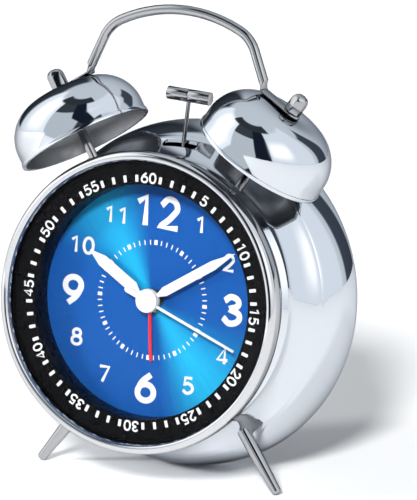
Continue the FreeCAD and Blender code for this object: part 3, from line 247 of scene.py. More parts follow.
def finished(name, bm, place, nodes=(), body="clock", slot="polished_chrome", tone=None):
    """Turn a bmesh into a piece on its CAD body, with its slot's finish or another tone of it."""
    bmesh.ops.remove_doubles(bm, verts=bm.verts[:], dist=MERGE)
    bmesh.ops.recalc_face_normals(bm, faces=bm.faces[:])
    for face in bm.faces:
        face.smooth = True
    for edge in bm.edges:
        edge.smooth = len(edge.link_faces) == 2 and edge.calc_face_angle(0) < SHARP
    bmesh.ops.transform(bm, matrix=place, verts=bm.verts[:])
    mesh = bpy.data.meshes.new(name)
    bm.to_mesh(mesh)
    bm.free()
    mesh.materials.append(finish(tone or slot))
    piece = new_object(name, mesh)
    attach(piece, body)
    if nodes:
        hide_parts(*nodes)
    return piece


def new_verts(made, key="geom"):
    """The vertices that a bmesh operator returned."""
    return [item for item in made[key] if isinstance(item, bmesh.types.BMVert)]


def new_edges(made, key="geom"):
    """The edges that a bmesh operator returned."""
    return [item for item in made[key] if isinstance(item, bmesh.types.BMEdge)]


def turned(corners, steps=TURN_STEPS, edge=0.0):
    """A closed outline of (radius, height) corners, turned about Z."""
    bm = bmesh.new()
    trace(bm, corners)
    bmesh.ops.spin(bm, geom=bm.verts[:] + bm.edges[:], cent=(0, 0, 0), axis=(0, 0, 1), angle=FULL_TURN,
                   steps=steps, use_merge=True)
    bmesh.ops.remove_doubles(bm, verts=bm.verts[:], dist=MERGE)
    bmesh.ops.dissolve_degenerate(bm, edges=bm.edges[:], dist=MERGE)
    bmesh.ops.recalc_face_normals(bm, faces=bm.faces[:])
    if edge:
        soften(bm, edge)
    return bm


def rod(radius, low, high, steps=ROD_STEPS, edge=0.15 * MM):
    """A plain round rod from low to high along Z."""
    return turned([(0, low), (radius, low), (radius, high), (0, high)], steps, edge)


def slab(corners, low, high, edge=0.0):
    """A flat outline in the dial's plane, thickened from low to high in depth."""
    bm = bmesh.new()
    verts = [bm.verts.new((x, low, z)) for x, z in corners]
    face = bm.faces.new(verts)
    made = bmesh.ops.extrude_face_region(bm, geom=[face])
    bmesh.ops.translate(bm, verts=new_verts(made), vec=(0, high - low, 0))
    bmesh.ops.recalc_face_normals(bm, faces=bm.faces[:])
    if edge:
        soften(bm, edge)
    return bm


def absorb(bm, other, place=None):
    """Move another bmesh's geometry into this one."""
    mesh = bpy.data.meshes.new("passing")
    if place is not None:
        bmesh.ops.transform(other, matrix=place, verts=other.verts[:])
    other.to_mesh(mesh)
    other.free()
    bm.from_mesh(mesh)
    bpy.data.meshes.remove(mesh)


# ---------------- finishes

NOISE_SPAN = (0.3, 0.7)          # where a noise's values mostly lie
DIAL_PAINTED_HIGHLIGHTS = (                  # painted highlights: bearings of start, crest and end, strength inside and outside
    (-72, -34, -4, 1.0, 0.7),
    (98, 140, 172, 0.9, 1.0),
)
HIGHLIGHT_SPAN = (8 * MM, 38 * MM)   # radii between which a painted highlight changes its strength
STREAK_TONES = (0.86, 1.14)      # darkest and lightest streak of the brushing


class Nodes:
    """Helpers that add nodes to a tree."""

    def __init__(self, tree):
        self.tree = tree

    def node(self, kind, **settings):
        """Add a node, with its settings by name."""
        made = self.tree.nodes.new(kind)
        for key, value in settings.items():
            setattr(made, key, value)
        return made

    def link(self, source, target):
        """Join two sockets."""
        self.tree.links.new(source, target)

    def feed(self, target, value):
        """Give a socket another socket, a number or a colour."""
        if isinstance(value, bpy.types.NodeSocket):
            self.link(value, target)
        else:
            target.default_value = value if isinstance(value, (int, float)) else (*value, 1)

    def maths(self, operation, first, second=0.0):
        """A Math node on sockets or numbers."""
        made = self.node("ShaderNodeMath", operation=operation)
        self.feed(made.inputs[0], first)
        self.feed(made.inputs[1], second)
        return made.outputs[0]

    def ramp(self, value, low, high, start=0.0, end=1.0, kind="SMOOTHSTEP"):
        """Carry a value from low..high to start..end."""
        made = self.node("ShaderNodeMapRange", interpolation_type=kind)
        self.link(value, made.inputs["Value"])
        for socket, number in (("From Min", low), ("From Max", high), ("To Min", start), ("To Max", end)):
            made.inputs[socket].default_value = number
        return made.outputs["Result"]

    def window(self, value, low, high, soft):
        """1 between low and high degrees, falling to 0 over a soft margin."""
        low, high, soft = (math.radians(number) for number in (low, high, soft))
        return self.maths("MULTIPLY", self.ramp(value, low - soft, low + soft),
                          self.ramp(value, high - soft, high + soft, 1.0, 0.0))

    def blend(self, factor, first, second, mode="MIX"):
        """Mix two colours."""
        made = self.node("ShaderNodeMix", data_type="RGBA", blend_type=mode)
        for index, value in ((0, factor), (6, first), (7, second)):
            self.feed(made.inputs[index], value)
        return made.outputs[2]


class Finish(Nodes):
    """A material with a Principled shader, and helpers that add its pattern."""

    def __init__(self, name, base, roughness, metallic=0.0, **sockets):
        self.material = bpy.data.materials.new(name)
        self.material.use_nodes = True
        super().__init__(self.material.node_tree)
        self.shader = self.tree.nodes["Principled BSDF"]
        self.shader.inputs["Base Color"].default_value = (*base, 1)
        self.shader.inputs["Roughness"].default_value = roughness
        self.shader.inputs["Metallic"].default_value = metallic
        for socket, value in sockets.items():
            self.shader.inputs[socket.replace("_", " ")].default_value = value
        self.base = tuple(base)
        self.roughness = roughness
        self.coordinates = self.tree.nodes.new("ShaderNodeTexCoord").outputs["Object"]

    def noise(self, scale, detail=3.0, source=None):
        """Noise at so many cells a metre."""
        made = self.node("ShaderNodeTexNoise")
        made.inputs["Scale"].default_value = scale
        made.inputs["Detail"].default_value = detail
        self.link(source or self.coordinates, made.inputs["Vector"])
        return made.outputs["Fac"]

    def paint(self, socket, name="Base Color"):
        """Lead a pattern to the shader."""
        self.link(socket, self.shader.inputs[name])

    def mottle(self, share, scale):
        """Let the base colour drift a little, as handling and moulding leave it."""
        darker = tuple(value * (1 - share) for value in self.base)
        self.paint(self.blend(self.noise(scale), darker, self.base))

    def polish(self, spread, scale):
        """Let the roughness drift round its value."""
        low, high = max(self.roughness - spread, 0.0), self.roughness + spread
        self.paint(self.ramp(self.noise(scale), *NOISE_SPAN, low, high, "LINEAR"), "Roughness")

    def grain(self, strength, scale, distance):
        """Fine relief."""
        bump = self.node("ShaderNodeBump")
        bump.inputs["Strength"].default_value = strength
        bump.inputs["Distance"].default_value = distance
        self.link(self.noise(scale, 4.0), bump.inputs["Height"])
        self.link(bump.outputs["Normal"], self.shader.inputs["Normal"])


def plain_finish(name, base, roughness, metallic=0.0, drift=0.12, grain=0.0, **sockets):
    """A finish whose colour and polish drift slightly, with an optional moulded grain."""
    made = Finish(name, base, roughness, metallic, **sockets)
    made.mottle(drift, 180)
    made.polish(roughness * 0.2, 320)
    if grain:
        made.grain(grain, 2600, 0.05 * MM)
    return made.material


def plating(name, tone, roughness=0.035):
    """Mirror plating with the faint cloudiness that wiping leaves."""
    made = Finish(name, tone, roughness, 1.0, Specular_Tint=(0.30, 0.31, 0.33, 1))
    made.mottle(0.04, 60)
    made.polish(roughness * 0.4, 90)
    return made.material


def lens_finish():
    """Clear cover, all but invisible."""
    made = Finish("clear_cover", (0.01, 0.01, 0.012), 0.02, 0.0, Alpha=0.03)
    made.polish(0.01, 60)
    return made.material


def dial_finish():
    """Blue lacquer over radial brushing: painted highlights in bright wedges at fixed bearings, and fine streaks
    from the centre.
    """
    tone = colours()
    made = Finish("brushed_blue", tone.dial, 0.45, 0.0, Specular_IOR_Level=0.12)
    centred = made.node("ShaderNodeMapping", vector_type="POINT")
    unturned = CLOCK.inverted()
    centred.inputs["Location"].default_value = unturned.translation
    centred.inputs["Rotation"].default_value = unturned.to_euler()
    made.link(made.coordinates, centred.inputs["Vector"])
    parts = made.node("ShaderNodeSeparateXYZ")
    made.link(centred.outputs["Vector"], parts.inputs[0])
    across, up = parts.outputs["X"], parts.outputs["Z"]
    bearing = made.maths("ARCTAN2", across, up)
    reach = made.maths("SQRT", made.maths("ADD", made.maths("MULTIPLY", across, across),
                                          made.maths("MULTIPLY", up, up)))
    # Painted highlights: bright wedges at fixed bearings are mixed into the blue, standing in for the brushing's
    # sheen.
    wedges = []
    for *bearings, inner, outer in DIAL_PAINTED_HIGHLIGHTS:
        start, crest, end = map(math.radians, bearings)
        rise = made.ramp(bearing, start, crest)
        fall = made.ramp(bearing, crest, end, 1.0, 0.0)
        reach_share = made.ramp(reach, *HIGHLIGHT_SPAN, inner, outer)
        wedges.append(made.maths("MULTIPLY", made.maths("MULTIPLY", rise, fall), reach_share))
    lit = made.maths("ADD", *wedges)
    join = made.node("ShaderNodeCombineXYZ")
    made.link(made.maths("MULTIPLY", bearing, 26.0), join.inputs[0])
    made.link(made.maths("MULTIPLY", reach, 14.0), join.inputs[1])
    streaks = made.ramp(made.noise(5.0, 6.0, join.outputs[0]), *NOISE_SPAN, *STREAK_TONES, "LINEAR")
    body = made.blend(lit, tone.dial, tone.dial_light)
    made.paint(made.blend(1.0, body, streaks, "MULTIPLY"))
    made.grain(0.05, 900, 0.02 * MM)
    return made.material


def winding_finish():
    """Enamelled wire: fine turns across the coil."""
    made = Finish("enamelled_wire", (0.50, 0.16, 0.06), 0.3, 0.9)
    wave = made.node("ShaderNodeTexWave", wave_type="BANDS", bands_direction="X")
    wave.inputs["Scale"].default_value = 700
    made.link(made.coordinates, wave.inputs["Vector"])
    made.paint(made.blend(wave.outputs["Fac"], (0.28, 0.08, 0.03), (0.62, 0.22, 0.09)))
    return made.material


def build_finishes():
    """Every finish by its slot, and the chrome's other tones: rods, trim and inside."""
    tone = colours()
    white = tuple(tone.white)
    return {
        "polished_chrome": plating("chrome_plating", tone.chrome),
        # This darker tone of the chrome is painted shade for the darker surroundings the rods reflect; its higher
        # roughness is the plating's own.
        "rods": plating("rod_plating_painted_shade", tone.rods, 0.09),
        "trim": plating("trim_plating", tone.trim, 0.06),
        "inside": plain_finish("dull_plating", (0.50, 0.51, 0.53), 0.40, 1.0, drift=0.25, grain=0.2),
        "clear_lens": lens_finish(),
        "ring_black": plain_finish("gloss_black_print", tone.ring, 0.3, drift=0.15, Specular_IOR_Level=0.08),
        "dial_blue": dial_finish(),
        "back_black": plain_finish("black_lacquer", (0.012, 0.012, 0.013), 0.5, drift=0.25, grain=0.25),
        "knob_black": plain_finish("black_moulding", (0.016, 0.016, 0.017), 0.38, drift=0.25, grain=0.1),
        "hand_white": plain_finish("white_enamel", white, 0.35, drift=0.03),
        "hand_red": plain_finish("red_enamel", tone.red, 0.35, drift=0.08),
        "movement_plastic": plain_finish("black_nylon", (0.02, 0.02, 0.022), 0.45, grain=0.12),
        "wheel_plastic": plain_finish("cream_acetal", (0.70, 0.66, 0.55), 0.4, drift=0.06),
        "brass": plain_finish("turned_brass", (0.62, 0.40, 0.13), 0.28, 1.0, drift=0.1),
        "steel": plain_finish("bright_steel", (0.42, 0.42, 0.43), 0.34, 1.0, drift=0.1),
        "copper_winding": winding_finish(),
        "board_green": plain_finish("green_laminate", (0.012, 0.11, 0.035), 0.35, drift=0.3),
        "cell_wrap": plain_finish("cell_sleeve", (0.02, 0.022, 0.025), 0.25, drift=0.3),
        "white_plastic": plain_finish("white_moulding", white, 0.4, drift=0.05),
    }


FINISHES = {}


def finish(slot):
    """A finish by its slot; all are made at the first call."""
    if not FINISHES:
        FINISHES.update(build_finishes())
    return FINISHES[slot]


# ---------------- pieces


class CLOCK_OT_case(bpy.types.Operator):
    """Bezel, front shell with the hammer's slot, and bulged rear shell"""

    bl_idname = "clock.case"
    bl_label = "Case"

    def execute(self, context):
        s = sizes()
        gap = 0.1 * MM
        lip, lens, shoulder = -2.9 * MM, -2.5 * MM, -2.4 * MM    # depths: opening, lens, side
        inner_crest, inner_round, outer_round = -4.6 * MM, 1.5 * MM, 2.6 * MM
        seat_back, bezel_back, bevel = 1.0 * MM, 2.0 * MM, 0.7 * MM
        bezel = [
            (s.bezel_inner, lip), (s.bezel_inner + 0.9 * MM, inner_crest, inner_round, 1),
            (s.bezel_crest, -s.bezel_rise, outer_round, 1),
            (s.bezel, shoulder), (s.bezel, bezel_back - bevel), (s.bezel - bevel, bezel_back),
            (s.neck + gap, bezel_back), (s.neck + gap, seat_back), (s.seat, seat_back), (s.seat, lens),
            (s.bezel_inner, lens),
        ]
        finished("bezel_ring", turned(bezel, edge=0.12 * MM), DEPTHWAYS, ["bezel"], tone="trim")
        step_front, inner_step = s.neck_back + 1.4 * MM, s.neck_back + 0.6 * MM
        front = [
            (s.neck, seat_back), (s.neck, s.neck_back), (s.step, step_front),
            (s.step, s.step_back, s.flare_curve, -1), (s.crease, s.crease_back - s.seam),
            (s.crease - s.seam, s.crease_back), (s.crease - s.sheet, s.crease_back),
            (s.crease - 2 * s.sheet, s.crease_back - 1.0 * MM, s.flare_curve, 1),
            (s.step - s.sheet, s.step_back), (s.step - s.sheet, step_front),
            (s.neck - s.sheet, inner_step), (s.neck - s.sheet, seat_back),
        ]
        shell = finished("front_drum", turned(front, edge=0.15 * MM), DEPTHWAYS, ["front_shell"])
        self.cut_slot(shell)
        climb, reach = s.bulge - s.crease, s.bulge_back - s.crease_back - s.seam
        curve = (climb ** 2 + reach ** 2) / (2 * climb)
        rim = s.bulge - s.rim_curve
        seat = s.cover + gap
        edge_back = s.bulge_back + math.sqrt(s.rim_curve ** 2 - (seat - rim) ** 2)
        flange, flange_back = 54.2 * MM, 50.5 * MM
        rear = [
            (s.crease - s.seam, s.crease_back), (s.crease, s.crease_back + s.seam, curve, 1),
            (s.bulge, s.bulge_back, s.rim_curve, 1), (seat, edge_back),
            (seat, flange_back), (flange, flange_back), (flange, flange_back - s.sheet),
            (s.bulge - 2 * s.sheet, s.bulge_back), (s.crease - s.sheet + gap, s.crease_back),
        ]
        finished("rear_drum", turned(rear, edge=0.12 * MM), DEPTHWAYS, ["rear_shell"])
        return {"FINISHED"}

    def cut_slot(self, shell):
        """Cut the slot that the hammer's rod swings in."""
        half, wide, tall, steps = 5.2 * MM, 1.5 * MM, 20 * MM, 16
        above = Matrix.Translation((0, HAMMER_PIVOT[1], 44 * MM))
        cutter = bmesh.new()
        bmesh.ops.create_circle(cutter, cap_ends=True, segments=4 * steps, radius=wide)
        bmesh.ops.translate(cutter, verts=[v for v in cutter.verts if v.co.x > 0], vec=(half, 0, 0))
        bmesh.ops.translate(cutter, verts=[v for v in cutter.verts if v.co.x < 0], vec=(-half, 0, 0))
        made = bmesh.ops.extrude_face_region(cutter, geom=cutter.faces[:])
        bmesh.ops.translate(cutter, verts=new_verts(made), vec=(0, 0, tall))
        bmesh.ops.recalc_face_normals(cutter, faces=cutter.faces[:])
        bmesh.ops.transform(cutter, matrix=CLOCK @ above, verts=cutter.verts[:])
        mesh = bpy.data.meshes.new("slot_cutter")
        cutter.to_mesh(mesh)
        cutter.free()
        tool = new_object("slot_cutter", mesh)
        cut = shell.modifiers.new("slot", "BOOLEAN")
        cut.object = tool
        cut.operation = "DIFFERENCE"
        cut.solver = "EXACT"
        shape = bpy.data.meshes.new_from_object(shell.evaluated_get(bpy.context.evaluated_depsgraph_get()))
        shell.modifiers.clear()
        shell.data = shape
        bpy.data.objects.remove(tool)


class CLOCK_OT_dial(bpy.types.Operator):
    """Minute ring, dial plate and everything printed on them"""

    bl_idname = "clock.dial"
    bl_label = "Dial"

    def execute(self, context):
        s = sizes()
        wall, rim, seat_back, thick, hole = 1.2 * MM, -1.0 * MM, 1.0 * MM, 0.8 * MM, 3.1 * MM
        outside, plate_back = s.seat - 0.1 * MM, s.dial_depth + thick
        ring = [
            (s.well, 0.0), (s.ring_rim, 0.0), (s.ring_rim, rim), (outside, rim), (outside, seat_back),
            (s.well + wall, seat_back), (s.well + wall, s.dial_depth), (s.well, s.dial_depth),
        ]
        finished("minute_band", turned(ring, edge=0.1 * MM), DEPTHWAYS, ["minute_ring"], slot="ring_black")
        plate = [(hole, s.dial_depth), (s.dial, s.dial_depth), (s.dial, plate_back), (hole, plate_back)]
        finished("dial_face", turned(plate), DEPTHWAYS, ["dial_plate"], slot="dial_blue")
        scale = 20.35 * MM
        self.print_marks("ring_ticks", 60, 43.3 * MM, (1.1 * MM, 2.4 * MM), 0.0, skip=5)
        self.print_marks("scale_fine", 60, scale, (0.38 * MM, 1.7 * MM), s.dial_depth, skip=5)
        self.print_marks("scale_bold", 12, scale, (1.25 * MM, 1.7 * MM), s.dial_depth)
        self.print_figures(s)
        return {"FINISHED"}

    def print_marks(self, name, count, radius, shape, depth, skip=0):
        """Bars evenly round a circle, leaving out every so many."""
        bm = bmesh.new()
        wide, tall = shape[0] / 2, shape[1] / 2
        corners = [(-wide, -tall), (wide, -tall), (wide, tall), (-wide, tall)]
        for index in range(count):
            if skip and index % skip == 0:
                continue
            turn = Matrix.Rotation(FULL_TURN * index / count, 4, "Y")
            absorb(bm, slab(corners, depth - PRINT, depth), turn @ Matrix.Translation((0, 0, radius)))
        finished(name, bm, CLOCK, slot="hand_white")

    def print_figures(self, s):
        """Hour figures stand upright; minute figures turn with the ring, their tops outward."""
        hours = bmesh.new()
        for hour in range(1, 13):
            radius, tall, pen = SMALL_HOUR if hour % 3 else TWELVE if hour == 12 else LARGE_HOUR
            bearing = FULL_TURN * hour / 12
            spot = Matrix.Translation((radius * math.sin(bearing), 0, radius * math.cos(bearing)))
            absorb(hours, figure(str(hour), tall, pen, s.dial_depth), spot)
        finished("hour_figures", hours, CLOCK, slot="hand_white")
        minutes = bmesh.new()
        radius, tall, pen = MINUTES
        for minute in range(5, 65, 5):
            turn = Matrix.Rotation(FULL_TURN * minute / 60, 4, "Y")
            absorb(minutes, figure(str(minute), tall, pen, 0.0), turn @ Matrix.Translation((0, 0, radius)))
        finished("minute_figures", minutes, CLOCK, slot="hand_white")


TWELVE = (31.0 * MM, 12.2 * MM, 2.15 * MM)      # circle, height and pen of the figures
LARGE_HOUR = (31.0 * MM, 11.5 * MM, 2.15 * MM)
SMALL_HOUR = (32.7 * MM, 6.5 * MM, 1.1 * MM)
MINUTES = (43.6 * MM, 3.9 * MM, 0.66 * MM)
CORNER = "VECTOR"         # a knot without it is smooth
FIGURE_STEP = 0.86        # width that one figure takes, as a share of its height
FIGURE_WIDTH = 1.12       # widens the strokes' box
STROKES = {               # pen strokes of each figure in a box one unit high: (closed, points)
    "0": [(True, [(0.3, 1), (0.6, 0.5), (0.3, 0), (0, 0.5)])],
    "1": [(False, [(0.08, 0.80, CORNER), (0.36, 1, CORNER), (0.36, 0, CORNER)])],
    "2": [(False, [(0.03, 0.76), (0.3, 1), (0.57, 0.74), (0.42, 0.42), (0, 0, CORNER), (0.62, 0, CORNER)])],
    "3": [(False, [(0.03, 0.83), (0.28, 1), (0.54, 0.77), (0.22, 0.54, CORNER)]),
          (False, [(0.22, 0.54, CORNER), (0.6, 0.28), (0.28, 0), (0, 0.2)])],
    "4": [(False, [(0.64, 0.25, CORNER), (0, 0.25, CORNER), (0.45, 1, CORNER), (0.45, 0, CORNER)])],
    "5": [(False, [(0.54, 1, CORNER), (0.11, 1, CORNER), (0.06, 0.55, CORNER), (0.3, 0.64), (0.6, 0.32),
                   (0.28, 0), (0, 0.17)])],
    "6": [(False, [(0.46, 1), (0.13, 0.66), (0, 0.31)]),
          (True, [(0.3, 0.62), (0.6, 0.31), (0.3, 0), (0, 0.31)])],
    "7": [(False, [(0, 1, CORNER), (0.6, 1, CORNER), (0.2, 0, CORNER)])],
    "8": [(True, [(0.3, 1), (0.54, 0.77), (0.3, 0.54), (0.06, 0.77)]),
          (True, [(0.3, 0.54), (0.6, 0.27), (0.3, 0), (0, 0.27)])],
    "9": [(False, [(0.14, 0), (0.47, 0.34), (0.6, 0.69)]),
          (True, [(0.3, 1), (0.6, 0.69), (0.3, 0.38), (0, 0.69)])],
}


def figure(text, tall, pen, depth):
    """A number written with a flat pen in the dial's plane, centred, a given height."""
    curve = bpy.data.curves.new("figure", "CURVE")
    curve.dimensions = "3D"
    curve.bevel_depth = pen / 2
    curve.bevel_resolution = 2
    curve.resolution_u = 8
    curve.use_fill_caps = True
    body = tall - pen
    for place, character in enumerate(text):
        for closed, points in STROKES[character]:
            spline = curve.splines.new("BEZIER")
            spline.bezier_points.add(len(points) - 1)
            spline.use_cyclic_u = closed
            for knot, (x, z, *corner) in zip(spline.bezier_points, points):
                knot.co = ((x + place * FIGURE_STEP) * FIGURE_WIDTH * body, 0, z * body)
                knot.handle_left_type = knot.handle_right_type = CORNER if corner else "AUTO"
    holder = new_object("figure", curve)
    mesh = bpy.data.meshes.new_from_object(holder.evaluated_get(bpy.context.evaluated_depsgraph_get()))
    bpy.data.objects.remove(holder)
    bm = bmesh.new()
    bm.from_mesh(mesh)
    bpy.data.meshes.remove(mesh)
    low = min(v.co.x for v in bm.verts)
    high = max(v.co.x for v in bm.verts)
    bmesh.ops.translate(bm, verts=bm.verts[:], vec=(-(low + high) / 2, 0, -body / 2))
    bmesh.ops.scale(bm, verts=bm.verts[:], vec=(1, PRINT / pen, 1))
    bmesh.ops.translate(bm, verts=bm.verts[:], vec=(0, depth - 0.75 * PRINT, 0))
    return bm


class CLOCK_OT_hands(bpy.types.Operator):
    """Hour, minute, second and alarm hands and the cap over their hub"""

    bl_idname = "clock.hands"
    bl_label = "Hands"

    def execute(self, context):
        s = sizes()
        thick, hub = 0.35 * MM, 4.2 * MM
        front = {"alarm": 2.1, "hour": 3.0, "minute": 3.8, "second": 4.4}
        front = {name: s.dial_depth - rise * MM for name, rise in front.items()}
        hour = self.blade(28.5 * MM, 4.2 * MM, 6.0 * MM)
        minute = self.blade(37.7 * MM, 3.35 * MM, 9.2 * MM)
        self.hand("hour", hour, hub, front["hour"], thick, s.hour_angle, "hand_white", thick)
        self.hand("minute", minute, hub, front["minute"], thick, s.minute_angle, "hand_white", thick)
        side, shoulder = 0.57 * MM, 20.9 * MM
        alarm = [(-side, 2.4 * MM), (side, 2.4 * MM), (side, shoulder), (0, 21.7 * MM), (-side, shoulder)]
        self.hand("alarm", alarm, 3.0 * MM, front["alarm"], thick, s.alarm_angle, "hand_red")
        needle = [(0.5, -9.5), (0.95, -8.6), (0.95, 0.0), (0.5, 1.0), (0.45, 37.0)]
        needle = [(x * MM, z * MM) for x, z in needle]
        needle += [(-x, z) for x, z in reversed(needle)]
        self.hand("second", needle, 1.6 * MM, front["second"], thick, s.second_angle, "hand_white")
        cap_front = s.dial_depth - 5.0 * MM
        wide, bend = 4.1 * MM, 0.3 * MM
        cap = [(0, cap_front), (wide - bend, cap_front, bend, 1), (wide, cap_front + bend),
               (wide, front["second"]), (0, front["second"])]
        finished("hub_disc", turned(cap, ROD_STEPS, HAND_EDGE), DEPTHWAYS, ["hub_cap"], "second",
                 "hand_white")
        return {"FINISHED"}

    def blade(self, reach, wide, point):
        """Half-symmetric hand: neck, straight-sided blade, long point."""
        neck, tip = 0.75 * MM, 0.12 * MM
        side = wide / 2
        half = [(neck, 3.2 * MM), (neck, 4.95 * MM), (side, 7.5 * MM), (side, reach - point), (tip, reach)]
        return half + [(-x, z) for x, z in reversed(half)]

    def hand(self, body, corners, hub, front, thick, bearing, slot, collar=0.0):
        """An arm with its hub disc, turned to its bearing; the collar fills the gap behind it."""
        turn = Matrix.Rotation(bearing, 4, "Y")
        bm = slab(corners, front, front + thick, HAND_EDGE)
        disc = rod(hub, front, front + thick + collar, edge=HAND_EDGE)
        absorb(bm, disc, Matrix.Rotation(-RIGHT_ANGLE, 4, "X"))
        finished(body + "_pointer", bm, CLOCK @ turn, [body + "_hand"], body, slot)


class CLOCK_OT_bells(bpy.types.Operator):
    """Both bells and their posts"""

    bl_idname = "clock.bells"
    bl_label = "Bells"

    def execute(self, context):
        s = sizes()
        crown = s.bell_rim + s.bell_height
        wall, bead, lip, hole = 1.0 * MM, 0.35 * MM, 1.3 * MM, s.post + 0.1 * MM
        bell = [
            (s.bell + bead, s.bell_rim), (s.bell + bead, s.bell_rim + lip), (s.bell, s.bell_rim + lip),
            (s.bell, crown - s.bell_curve, s.bell_curve, 1), (s.bell - s.bell_curve, crown),
            (hole, crown), (hole, crown - wall),
            (s.bell - s.bell_curve, crown - wall, s.bell_curve - wall, -1),
            (s.bell - wall, crown - s.bell_curve), (s.bell - wall, s.bell_rim),
        ]
        for side, name in ((-1, "left"), (1, "right")):
            place = leaning(side * s.bell_tilt, s.bell_depth)
            dome = finished("bell_%s_dome" % name, turned(bell, edge=0.12 * MM), place, ["bell_" + name])
            self.dull_inside(dome, place.inverted(), crown - s.bell_curve)
            finished("post_%s_rod" % name, rod(s.post, s.post_start, s.post_end), place, ["post_" + name],
                     tone="rods")
        nuts = bmesh.new()
        for side in (-1, 1):
            absorb(nuts, self.cap_nut(crown + s.tab_thickness), leaning(side * s.bell_tilt, s.bell_depth))
        finished("domed_nuts", nuts, Matrix(), ["cap_nuts"], tone="rods")
        return {"FINISHED"}

    def dull_inside(self, dome, unplaced, middle):
        """Give the faces that look inwards the dull plating of a bell's inside."""
        dome.data.materials.append(finish("inside"))
        for face in dome.data.polygons:
            spot, facing = unplaced @ face.center, unplaced.to_3x3() @ face.normal
            inward = Vector((spot.x, spot.y, max(spot.z - middle, 0))).dot(facing) < 0
            face.material_index = int(inward)

    def cap_nut(self, seat):
        """Hexagonal nut with a domed end."""
        corner, tall, flat = 3.233 * MM, 6.8 * MM, 1.2 * MM
        straight = 0.6    # share of the height below the dome
        bm = bmesh.new()
        bmesh.ops.create_circle(bm, cap_ends=True, segments=6, radius=corner)
        bmesh.ops.translate(bm, verts=bm.verts[:], vec=(0, 0, seat))
        here, wide, steps = 0.0, corner, 6
        for step in range(steps + 1):
            share = RIGHT_ANGLE * step / steps
            height = tall * (straight + (1 - straight) * math.sin(share))
            target = flat + (corner - flat) * math.cos(share)
            top = max(bm.faces, key=lambda face: face.calc_center_median().z)
            region = bmesh.ops.extrude_face_region(bm, geom=[top])
            verts = new_verts(region)
            if step:
                bmesh.ops.delete(bm, geom=[top], context="FACES_ONLY")
            bmesh.ops.translate(bm, verts=verts, vec=(0, 0, height - here))
            bmesh.ops.scale(bm, verts=verts, vec=(target / wide, target / wide, 1))
            here, wide = height, target
        bmesh.ops.recalc_face_normals(bm, faces=bm.faces[:])
        soften(bm, 0.25 * MM)
        return bm


def leaning(bearing, depth):
    """A place whose Z points out from the clock's axis at a bearing clockwise from up."""
    return CLOCK @ Matrix.Translation((0, depth, 0)) @ Matrix.Rotation(bearing, 4, "Y")


